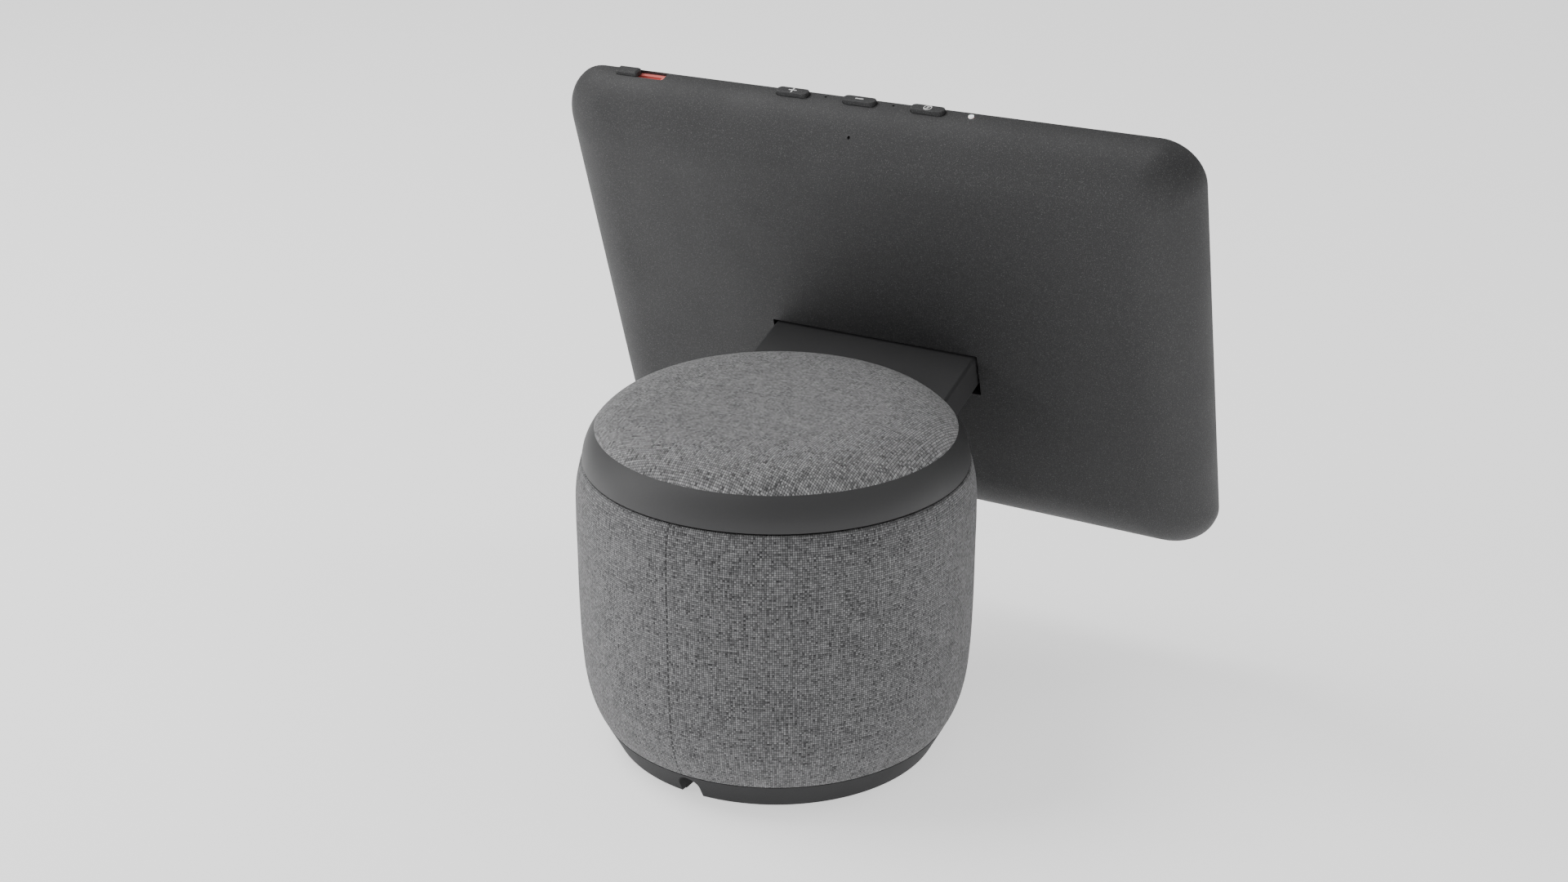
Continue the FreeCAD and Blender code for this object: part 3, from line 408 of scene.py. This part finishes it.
def woven_fabric(name, dark, light, seam=False):
    material, tree, shader, _ = start_material(name)
    unrolled = tree.nodes.new("ShaderNodeUVMap")
    unrolled.uv_map = "threads"
    scale = tree.nodes.new("ShaderNodeVectorMath")
    scale.operation = "SCALE"
    tree.links.new(unrolled.outputs[0], scale.inputs[0])
    scale.inputs["Scale"].default_value = 1.0 / THREAD_PITCH
    weave = use_group(tree, WEAVE, Threads=scale.outputs[0])
    cloth = mix_colours(tree, weave["Tone"], dark, light)
    gaps = remap(tree, weave["Height"], 0.20, 0.80, 0.15, 1.0)
    shaded = mix_colours(tree, gaps, tuple(c * GAP_SHADE for c in dark), cloth)
    height = weave["Height"]
    if seam:
        split = tree.nodes.new("ShaderNodeSeparateXYZ")
        tree.links.new(unrolled.outputs[0], split.inputs[0])
        distance = calc(tree, "ABSOLUTE", split.outputs[0])
        stitches = calc(tree, "DIVIDE", split.outputs[1], STITCH)
        gap = calc(tree, "LESS_THAN", calc(tree, "FRACT", stitches), STITCH_GAP)
        beside = remap(tree, distance, SEAM_HALF * 0.5, SEAM_HALF * 1.5)
        clear = calc(tree, "MAXIMUM", gap, beside)
        shaded = mix_colours(tree, clear, tuple(c * SEAM_SHADE for c in dark), shaded)
        height = calc(tree, "MULTIPLY", height, clear)
    tree.links.new(shaded, shader["Base Color"])
    tree.links.new(bump(tree, height, 0.00030, 0.9), shader["Normal"])
    shader["Roughness"].default_value = 0.95
    shader["Specular IOR Level"].default_value = 0.15
    shader["Sheen Weight"].default_value = 0.25
    shader["Sheen Roughness"].default_value = 0.5
    return material


SIDE_FABRIC = woven_fabric("side_fabric", (0.050, 0.050, 0.052), (0.31, 0.31, 0.315), True)
# The top disc's cloth is the sleeve's cloth made lighter: painted light where it faces up.
LIT_TOP_FABRIC = woven_fabric("top_cloth_painted_light", (0.075, 0.075, 0.077), (0.44, 0.44, 0.445))
print("fabrics", SIDE_FABRIC.name, LIT_TOP_FABRIC.name)

# %% [markdown]
# Boards are green solder resist over copper tracks and tinned pads, the glass is black at its
# border, and the light pipe glows. A board's pattern could be painted by hand, but stripes and
# dots that are worked out fit a board of any size.


# %% Board, screen and light materials
def circuit_board(name):
    material, tree, shader, place = start_material(name)
    split = tree.nodes.new("ShaderNodeSeparateXYZ")
    tree.links.new(place, split.inputs[0])
    bend = calc(tree, "MULTIPLY", noise(tree, place, 90.0, 1.0), 6.0)
    lane = calc(tree, "MULTIPLY_ADD", split.outputs[0], 420.0, bend)
    track = calc(tree, "LESS_THAN", calc(tree, "FRACT", lane), 0.42)
    dots = tree.nodes.new("ShaderNodeTexVoronoi")
    tree.links.new(place, dots.inputs["Vector"])
    dots.inputs["Scale"].default_value = 420.0
    pad = calc(tree, "LESS_THAN", dots.outputs["Distance"], 0.22)
    green = mix_colours(tree, track, (0.008, 0.055, 0.028), (0.014, 0.095, 0.045))
    tree.links.new(mix_colours(tree, pad, green, (0.55, 0.55, 0.52)), shader["Base Color"])
    tree.links.new(calc(tree, "MULTIPLY", pad, 0.9), shader["Metallic"])
    tree.links.new(bump(tree, track, 0.00004), shader["Normal"])
    shader["Roughness"].default_value = 0.32
    return material


ACTIVE_HALF_X, ACTIVE_HALF_Z = 108.5 * MM, 68.0 * MM


def screen_glass(name):
    """Glass with a black printed border; the panel behind it is a touch greyer."""
    material, tree, shader, _ = start_material(name)
    unrolled = tree.nodes.new("ShaderNodeUVMap")
    unrolled.uv_map = "screen"
    split = tree.nodes.new("ShaderNodeSeparateXYZ")
    tree.links.new(unrolled.outputs[0], split.inputs[0])
    from_middle = [calc(tree, "ABSOLUTE", output) for output in list(split.outputs)[:2]]
    inside_x = calc(tree, "LESS_THAN", from_middle[0], ACTIVE_HALF_X)
    inside_z = calc(tree, "LESS_THAN", from_middle[1], ACTIVE_HALF_Z)
    active = calc(tree, "MULTIPLY", inside_x, inside_z)
    tree.links.new(mix_colours(tree, active, (0.0015, 0.0015, 0.0017), (0.010, 0.010, 0.012)),
                   shader["Base Color"])
    prints = noise(tree, unrolled.outputs[0], 40.0, 5.0, 0.6)
    tree.links.new(remap(tree, prints, 0.35, 0.75, 0.03, 0.09), shader["Roughness"])
    shader["Coat Weight"].default_value = 0.6
    shader["Coat Roughness"].default_value = 0.02
    return material


def light_pipe(name):
    material, tree, shader, place = start_material(name)
    glow = noise(tree, place, 800.0, 2.0)
    tree.links.new(mix_colours(tree, glow, (0.85, 0.86, 0.88), (0.98, 0.98, 0.98)),
                   shader["Base Color"])
    shader["Roughness"].default_value = 0.35
    shader["Subsurface Weight"].default_value = 0.4
    shader["Subsurface Scale"].default_value = 0.001
    shader["Emission Color"].default_value = (1.0, 1.0, 1.0, 1.0)
    shader["Emission Strength"].default_value = 0.6
    return material


def printed_ink(name, colour):
    material, tree, shader, place = start_material(name)
    wear = noise(tree, place, 2600.0, 3.0, 0.6)
    faded = tuple(c * 0.8 for c in colour)
    tree.links.new(mix_colours(tree, remap(tree, wear, 0.45, 0.8), colour, faded),
                   shader["Base Color"])
    tree.links.new(bump(tree, wear, 0.00002), shader["Normal"])
    shader["Roughness"].default_value = 0.5
    return material


print("board, glass, light and ink materials ready")

# %% [markdown]
# Each slot of the record gets one material, and the CAD nodes that stay are given theirs here.
# Giving each node its own would let two pieces of one plastic drift apart. The friction washers
# are the exception: they show in the gap beside the arm, and they are made near black as painted
# shade, so that the gap reads as dark as its shadow.

# %% Materials by slot
MATERIALS = {
    "charcoal_plastic": moulded_plastic("charcoal_plastic", (0.021, 0.021, 0.022),
                                        (0.17, 0.17, 0.17), 0.55, 0.62),
    "ring_plastic": moulded_plastic("ring_plastic", (0.033, 0.033, 0.034), (0.10, 0.10, 0.10),
                                    0.25, 0.55, 1.6, 0.00004),
    "foot_plastic": moulded_plastic("foot_plastic", (0.012, 0.012, 0.013), (0.04, 0.04, 0.04),
                                    0.25, 0.75, 1.6, 0.00004),
    "rubber": moulded_plastic("rubber", (0.014, 0.014, 0.014), (0.05, 0.05, 0.05), 0.4, 0.85),
    "grey_fabric": SIDE_FABRIC,
    "steel": worked_metal("steel", (0.52, 0.52, 0.53), 0.34),
    "zinc_steel": worked_metal("zinc_steel", (0.62, 0.63, 0.62), 0.28, EVEN),
    "aluminium": worked_metal("aluminium", (0.70, 0.70, 0.71), 0.42, EVEN),
    "black_plastic": moulded_plastic("black_plastic", (0.018, 0.018, 0.019), roughness=0.5,
                                     specks=0.15, depth=0.00005),
    "white_plastic": moulded_plastic("white_plastic", (0.72, 0.72, 0.69), (0.85, 0.85, 0.82),
                                     0.3, 0.42, 1.0, 0.00003),
    "bronze": worked_metal("bronze", (0.56, 0.36, 0.19), 0.38, EVEN),
    "circuit_board": circuit_board("circuit_board"),
    "screen_glass": screen_glass("screen_glass"),
    "screen_panel": moulded_plastic("screen_panel", (0.012, 0.012, 0.014), specks=0.0,
                                    roughness=0.25, depth=0.00001),
    "red_plastic": moulded_plastic("red_plastic", (0.80, 0.19, 0.17), (0.88, 0.34, 0.31),
                                   0.3, 0.38, 1.4, 0.00004),
    "paper_cone": moulded_plastic("paper_cone", (0.025, 0.025, 0.025), (0.09, 0.09, 0.08), 0.5,
                                  0.9, 0.5, 0.00025),
    "light_pipe": light_pipe("light_pipe"),
    "cable_jacket": moulded_plastic("cable_jacket", (0.015, 0.015, 0.015), specks=0.1),
}
WHITE_INK = printed_ink("white_ink", (0.82, 0.82, 0.82))
for name, node in nodes.items():
    for slot in node.material_slots:
        slot.material = MATERIALS[slot_of[name]]
# Near-black steel on the washers is painted shade for the dark gap beside the arm.
gap_shade_metal = worked_metal("gap_shade_dark_steel", (0.035, 0.035, 0.037), 0.55, EVEN)
for slot in nodes["friction_washers"].material_slots:
    slot.material = gap_shade_metal
print("materials", len(MATERIALS) + 1)

# %% [markdown]
# The tablet's back is one thin moulding. Its edges bow out slightly in the middle, and its back
# edge is a broad elliptical round, which a bevel could only make circular. So rounded rectangles
# are stacked from the front lip to the back plane, and the inside is the same shape drawn in by
# the wall. The openings are cut afterwards, as they would be by slides in the mould.


# %% Tablet housing
BACK_ROUND = 22.9
ROUND_START = 2.0
BOW = 0.5
RIM_WALL, BACK_WALL = 2.5, 2.0
CORNER = 15.5
CORNER_SHRINK = 0.35
FRONT_LIP = ((0.35, 0.4), (0.08, 0.55), (0.0, 0.9))       # inset and depth of each outline
INNER_LIP = ((RIM_WALL, 0.55), (RIM_WALL - 0.15, 0.4))
SLOT_HALF_X, SLOT_LOW, SLOT_HIGH, SLOT_FLOOR = 42.4, 63.2, 80.6, 8.0


def tablet_ring(inset, radius, depth, steps=14):
    """Outline of the tablet at one depth, with bowed edges."""
    half_x, half_z = WIDTH / 2, HEIGHT / 2
    points = []
    for x, z in rounded_rectangle(half_x - inset, half_z - inset, radius, steps):
        pull_x = BOW * (z / half_z) ** 2 * (x / half_x)
        pull_z = BOW * (x / half_x) ** 2 * (z / half_z)
        points.append((x - pull_x, depth, half_z + z - pull_z))
    return points


def tablet_shell_rings(inset, back_depth, steps):
    """Rings from the round's start to the back plane."""
    rings = []
    for step in range(steps + 1):
        turn = math.pi / 2 * step / steps
        shrink = BACK_ROUND * (1 - math.cos(turn))
        depth = ROUND_START + (back_depth - ROUND_START) * math.sin(turn)
        rings.append(tablet_ring(inset + shrink, CORNER - inset - CORNER_SHRINK * shrink, depth))
    return rings


CUT_LEVELS = (160, 176)
CUT_BACK = 22


def top_cutter(outline, centre, depth):
    """Cutter through the top edge, from an outline of (x, depth) points."""
    bm = bmesh.new()
    tube_of(bm, [[(centre + x, depth + y, level) for x, y in outline] for level in CUT_LEVELS])
    return finish_mesh(bm, "cutter", TABLET)


def back_cutter(outline, near, centre, height):
    """Cutter through the back, from an outline of (x, z) points."""
    bm = bmesh.new()
    tube_of(bm, [[(centre + x, depth, height + z) for x, z in outline]
                 for depth in (near, CUT_BACK)])
    return finish_mesh(bm, "cutter", TABLET)


def circle(radius, count=24):
    return [(radius * math.cos(2 * math.pi * i / count), radius * math.sin(2 * math.pi * i / count))
            for i in range(count)]


bm = bmesh.new()
outer = [tablet_ring(inset, CORNER - inset, depth) for inset, depth in FRONT_LIP]
outer += tablet_shell_rings(0.0, THICK, 22)
inner = tablet_shell_rings(RIM_WALL, THICK - BACK_WALL, 10)
lip = [tablet_ring(inset, CORNER - inset, depth) for inset, depth in INNER_LIP]
tube_of(bm, list(reversed(inner)) + lip + outer)
housing = finish_mesh(bm, "tablet_back", TABLET)

BUTTONS = {"volume_up_button": 27.8, "volume_down_button": 1.0, "mic_button": -25.6}
BUTTON_HALF = (6.45, 1.9)
BUTTON_DEPTH = 3.05
BUTTON_GAP = 0.25
TRACK_X, TRACK_DEPTH = (81.7, 102.6), (0.95, 5.25)
LIGHT_X, LIGHT_DEPTH = -42.0, 3.1
MICS, MIC_DEPTH = (14.9, -11.9), 2.5
RESET_X, RESET_Z = 0.4, 163.2
BUTTON_ROUND, TRACK_ROUND, SLOT_ROUND = 2.05, 1.2, 0.4
LIGHT_HOLE, MIC_HOLE, RESET_HOLE = 1.05, 0.45, 0.55

cutters = []
for middle in BUTTONS.values():
    outline = rounded_rectangle(BUTTON_HALF[0] + BUTTON_GAP, BUTTON_HALF[1] + BUTTON_GAP,
                                BUTTON_ROUND)
    cutters.append(top_cutter(outline, middle, BUTTON_DEPTH))
track_outline = rounded_rectangle((TRACK_X[1] - TRACK_X[0]) / 2,
                                  (TRACK_DEPTH[1] - TRACK_DEPTH[0]) / 2, TRACK_ROUND)
cutters.append(top_cutter(track_outline, sum(TRACK_X) / 2, sum(TRACK_DEPTH) / 2))
cutters.append(top_cutter(circle(LIGHT_HOLE), LIGHT_X, LIGHT_DEPTH))
for middle in MICS:
    cutters.append(top_cutter(circle(MIC_HOLE, 16), middle, MIC_DEPTH))
cutters.append(back_cutter(circle(RESET_HOLE, 16), 11, RESET_X, RESET_Z))
slot_middle = (SLOT_LOW + SLOT_HIGH) / 2
slot_half = (SLOT_HIGH - SLOT_LOW) / 2
slot_outline = rounded_rectangle(SLOT_HALF_X, slot_half, SLOT_ROUND)
cutters.append(back_cutter(slot_outline, 10, 0.0, slot_middle))
cut(housing, cutters)

WELL_WALL, WELL_BACK = 1.5, 19.0
WELL_SLACK, WELL_ROUND = 0.35, 0.5
bm = bmesh.new()
well = []
for grow, near, far in ((WELL_WALL, SLOT_FLOOR - WELL_WALL, WELL_BACK),
                        (0.0, WELL_BACK, SLOT_FLOOR)):
    outline = rounded_rectangle(SLOT_HALF_X + grow, slot_half + grow + WELL_SLACK, WELL_ROUND)
    for depth in (near, far):
        well.append([(x, depth, slot_middle + z) for x, z in outline])
tube_of(bm, well)
pocket = finish_mesh(bm, "slot_pocket", TABLET)
for piece in (housing, pocket):
    piece.data.materials.clear()
    piece.data.materials.append(MATERIALS["charcoal_plastic"])
    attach(piece, "display")
    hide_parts("rear_housing")
print("tablet back", len(housing.data.polygons), "faces")

# %% [markdown]
# The front is one sheet of glass with softly rounded edges, its black border printed behind. A
# plain slab would catch the light on one hard line, so its front edge is drawn as a quarter
# round in a few steps.

# %% Cover glass
GLASS_INSET, GLASS_THICK = 2.6, 1.8
GLASS_ROUND_IN, GLASS_ROUND_DEEP, GLASS_STEPS = 0.9, 0.8, 5

bm = bmesh.new()
rings = [tablet_ring(GLASS_INSET, CORNER - GLASS_INSET, depth)
         for depth in (GLASS_THICK, GLASS_ROUND_DEEP)]
for step in range(1, GLASS_STEPS + 1):
    turn = math.pi / 2 * step / GLASS_STEPS
    inset = GLASS_INSET + GLASS_ROUND_IN * (1 - math.cos(turn))
    rings.append(tablet_ring(inset, CORNER - inset, GLASS_ROUND_DEEP * (1 - math.sin(turn))))
tube_of(bm, rings)
glass = finish_mesh(bm, "screen", TABLET)
flat = glass.data.uv_layers.new(name="screen")
to_tablet = TABLET.inverted()
for loop in glass.data.loops:
    local = to_tablet @ glass.data.vertices[loop.vertex_index].co
    flat.data[loop.index].uv = (local.x * MM, (local.z - HEIGHT / 2) * MM)
glass.data.materials.append(MATERIALS["screen_glass"])
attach(glass, "display")
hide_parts("cover_glass")
print("glass", len(glass.data.polygons), "faces")

# %% [markdown]
# The three caps carry white symbols: a plus, a minus, and a crossed circle. They could be drawn
# in the caps' material, but thin raised bars of ink stay sharp from near by. Each rides with its
# button.


# %% Button symbols
CAP_TOP = HEIGHT + 1.0
INK = 0.04
SYMBOL_LENGTH, PLUS_WIDTH, MINUS_WIDTH = 3.2, 0.45, 0.5
CIRCLE_OUT, CIRCLE_IN = 1.55, 1.25


def bar_piece(bm, middle, length, width, turn=0.0):
    """Flat printed bar on a cap."""
    cosine, sine = math.cos(turn), math.sin(turn)
    outline = rounded_rectangle(length / 2, width / 2, width * 0.3, 3)
    turned = [(middle + x * cosine - y * sine, BUTTON_DEPTH + x * sine + y * cosine)
              for x, y in outline]
    tube_of(bm, [[(x, y, level) for x, y in turned] for level in (CAP_TOP, CAP_TOP + INK)])


def printed(name, bm, body):
    piece = finish_mesh(bm, name, TABLET)
    piece.data.materials.append(WHITE_INK)
    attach(piece, body)
    return piece


bm = bmesh.new()
bar_piece(bm, BUTTONS["volume_up_button"], SYMBOL_LENGTH, PLUS_WIDTH)
bar_piece(bm, BUTTONS["volume_up_button"], SYMBOL_LENGTH, PLUS_WIDTH, math.pi / 2)
printed("plus_symbol", bm, "volume_up")
bm = bmesh.new()
bar_piece(bm, BUTTONS["volume_down_button"], SYMBOL_LENGTH, MINUS_WIDTH)
printed("minus_symbol", bm, "volume_down")
bm = bmesh.new()
middle = BUTTONS["mic_button"]
rings = []
for radius, level in ((CIRCLE_OUT, CAP_TOP), (CIRCLE_OUT, CAP_TOP + INK),
                      (CIRCLE_IN, CAP_TOP + INK), (CIRCLE_IN, CAP_TOP)):
    rings.append([(middle + x, BUTTON_DEPTH + y, level) for x, y in circle(radius, 40)])
tube_of(bm, rings + rings[:1], close_ends=False)
bmesh.ops.remove_doubles(bm, verts=bm.verts, dist=0.001)
bar_piece(bm, middle, 3.3, 0.3, math.radians(50))
bar_piece(bm, middle, 1.5, 0.6, math.pi / 2)
printed("mic_off_symbol", bm, "mic_mute")
print("symbols made")

# %% [markdown]
# The fabric top is cloth over a shallow dome, nearly flat in the middle and turning down tightly
# at its rim. A flattened sphere would bulge in the middle, so the height follows a high power of
# the radius, with the rings set closer together towards the rim, where the bend is.

# %% Fabric top disc
DOME_R, DOME_FOOT, DOME_RISE, DOME_POWER = 62.9, 117.7, 9.54, 7.4
SEGMENTS = 192
DOME_ROWS, DOME_CROWDING, DOME_MIDDLE = 44, 1.8, 0.02
DOME_HEM = 1.4
bm = bmesh.new()
shares = [1 - (1 - row / DOME_ROWS) ** DOME_CROWDING for row in range(2, DOME_ROWS)]
shares = [DOME_MIDDLE] + shares + [1.0]
loops = []
for share in shares:
    height = DOME_FOOT + DOME_RISE * (1 - share ** DOME_POWER)
    loops.append(ring(bm, [(x, y, height) for x, y in circle(DOME_R * share, SEGMENTS)]))
loops.append(ring(bm, [(x, y, DOME_FOOT + 0.02) for x, y in circle(DOME_R - DOME_HEM, SEGMENTS)]))
for first, second in zip(loops, loops[1:]):
    bridge(bm, first, second)
bm.faces.new(loops[0])
bm.faces.new(loops[-1])
top = finish_mesh(bm, "fabric_top", ROW, 50)
threads = top.data.uv_layers.new(name="threads")
for loop in top.data.loops:
    threads.data[loop.index].uv = top.data.vertices[loop.vertex_index].co.xy
top.data.materials.append(LIT_TOP_FABRIC)
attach(top, "turret")
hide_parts("top_fabric")
print("fabric top", len(top.data.polygons), "faces")

# %% [markdown]
# Fabric sleeve: one piece of cloth pulled round a barrel. It could be laid over the barrel as a
# flat sheet, but the cloth is stretched tight, so its outline is spun about the axis instead.
# Each corner then gets thread coordinates, its way round and its way up, so that the weave
# follows the curve. The cloth dips a little along the one upright seam at the back.

# %% Fabric sleeve
BARREL = [(63.4, 10.0), (66.2, 16.0), (68.3, 24.0), (69.4, 34.0), (70.0, 50.0),
          (70.1, 75.0), (70.1, 88.0), (69.6, 98.0), (67.9, 105.6)]
CLOTH = 1.2
SEAM_DIP = 0.08
SEAM_TURN = math.radians(-1.2)
SPIN_STEPS = 720
THREAD_RADIUS = 70.0
SEAM_WIDTH = 0.45


def barrel_points(count):
    """Smooth curve through the barrel's outline, as (radius, height) pairs."""
    curve = bpy.data.curves.new("outline", "CURVE")
    curve.dimensions = "3D"
    spline = curve.splines.new("BEZIER")
    spline.bezier_points.add(len(BARREL) - 1)
    for point, (radius, height) in zip(spline.bezier_points, BARREL):
        point.co = (radius, 0, height)
        point.handle_left_type = point.handle_right_type = "AUTO"
    spline.resolution_u = count
    holder = bpy.data.objects.new("outline", curve)
    mesh = bpy.data.meshes.new_from_object(holder)
    points = [(vertex.co.x, vertex.co.z) for vertex in mesh.vertices]
    bpy.data.objects.remove(holder)
    bpy.data.curves.remove(curve)
    bpy.data.meshes.remove(mesh)
    return points


outline = barrel_points(9)
edge_in = [(outline[0][0] - CLOTH, outline[0][1]), (outline[0][0] - 0.5, outline[0][1])]
edge_out = [(outline[-1][0] - 0.45, outline[-1][1]), (outline[-1][0] - CLOTH, outline[-1][1])]
outline = edge_in + [(outline[0][0] - 0.12, outline[0][1] + 0.15)] + outline[1:-1] + [
    (outline[-1][0] - 0.12, outline[-1][1] - 0.2)] + edge_out
bm = bmesh.new()
profile = [bm.verts.new((0, radius, height)) for radius, height in outline]
for first, second in zip(profile, profile[1:]):
    bm.edges.new((first, second))
bmesh.ops.spin(bm, geom=bm.verts[:] + bm.edges[:], cent=(0, 0, 0), axis=(0, 0, 1), dvec=(0, 0, 0),
               angle=2 * math.pi, steps=SPIN_STEPS, use_merge=True, use_duplicate=False)
lengths = [0.0]
for (r0, z0), (r1, z1) in zip(outline, outline[1:]):
    lengths.append(lengths[-1] + math.hypot(r1 - r0, z1 - z0))


def along_outline(vertex):
    """Length of the outline from its lower edge up to the vertex."""
    spot = (math.hypot(vertex.co.x, vertex.co.y), vertex.co.z)
    nearest = min(range(len(outline)), key=lambda row: math.dist(outline[row], spot))
    return lengths[nearest]


unrolled = bm.loops.layers.uv.new("threads")
risen = {vertex: along_outline(vertex) for vertex in bm.verts}
for face in bm.faces:
    middle = face.calc_center_median()
    side = math.copysign(1.0, -middle.x)
    for loop in face.loops:
        turn = abs(math.atan2(loop.vert.co.x, loop.vert.co.y))
        loop[unrolled].uv = (side * turn * THREAD_RADIUS * MM, risen[loop.vert] * MM)
for vertex in bm.verts:
    beside = abs(math.atan2(vertex.co.x, vertex.co.y)) * THREAD_RADIUS
    dip = SEAM_DIP * math.exp(-(beside / SEAM_WIDTH) ** 2)
    vertex.co.y -= dip
bmesh.ops.rotate(bm, verts=bm.verts, cent=(0, 0, 0), matrix=Matrix.Rotation(SEAM_TURN, 3, "Z"))
sleeve = finish_mesh(bm, "fabric_side", ROW, 60)
sleeve.data.materials.append(SIDE_FABRIC)
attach(sleeve, "base")
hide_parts("fabric_sleeve")
print("fabric side", len(sleeve.data.polygons), "faces")

# %% [markdown]
# A pale floor, even light from all round, and three soft discs of light. The tablet's back leans
# a little towards the floor, so a light from above alone leaves it flat. A low light from one
# side gives the long falloff across it, and picks out the cloth on the same side.

# %% Stage and light
FLOOR_GLOW, WORLD_GLOW = 0.9, 0.46
FLOOR_HALF = 6000
floor_material, floor_tree, floor_shader, floor_place = start_material("pale_floor")
floor_tone = noise(floor_tree, floor_place, 3.0, 3.0)
floor_tree.links.new(mix_colours(floor_tree, floor_tone, (0.80, 0.80, 0.80), (0.82, 0.82, 0.82)),
                     floor_shader["Base Color"])
floor_shader["Roughness"].default_value = 0.7
floor_shader["Emission Color"].default_value = (1, 1, 1, 1)
floor_shader["Emission Strength"].default_value = FLOOR_GLOW
bm = bmesh.new()
bmesh.ops.create_grid(bm, x_segments=8, y_segments=8, size=FLOOR_HALF)
floor = finish_mesh(bm, "floor", ROW)
floor.data.materials.append(floor_material)

world = bpy.data.worlds.new("studio")
world.use_nodes = True
world.node_tree.nodes["Background"].inputs["Color"].default_value = (1, 1, 1, 1)
world.node_tree.nodes["Background"].inputs["Strength"].default_value = WORLD_GLOW
bpy.context.scene.world = world


def soft_light(name, place, size, power):
    light = bpy.data.lights.new(name, "AREA")
    light.shape = "DISK"
    light.size = size
    light.energy = power
    lamp = bpy.data.objects.new(name, light)
    lamp.location = place
    aim = Vector((0, 0, 0.1)) - Vector(place)
    lamp.rotation_euler = aim.to_track_quat("-Z", "Y").to_euler()
    bpy.context.collection.objects.link(lamp)


soft_light("key_light", (0.9, 0.2, 1.5), 0.9, 18)
soft_light("side_light", (1.1, 0.7, 0.5), 0.5, 5)
soft_light("fill_light", (-0.9, -0.6, 1.5), 0.8, 3)
print("stage ready")
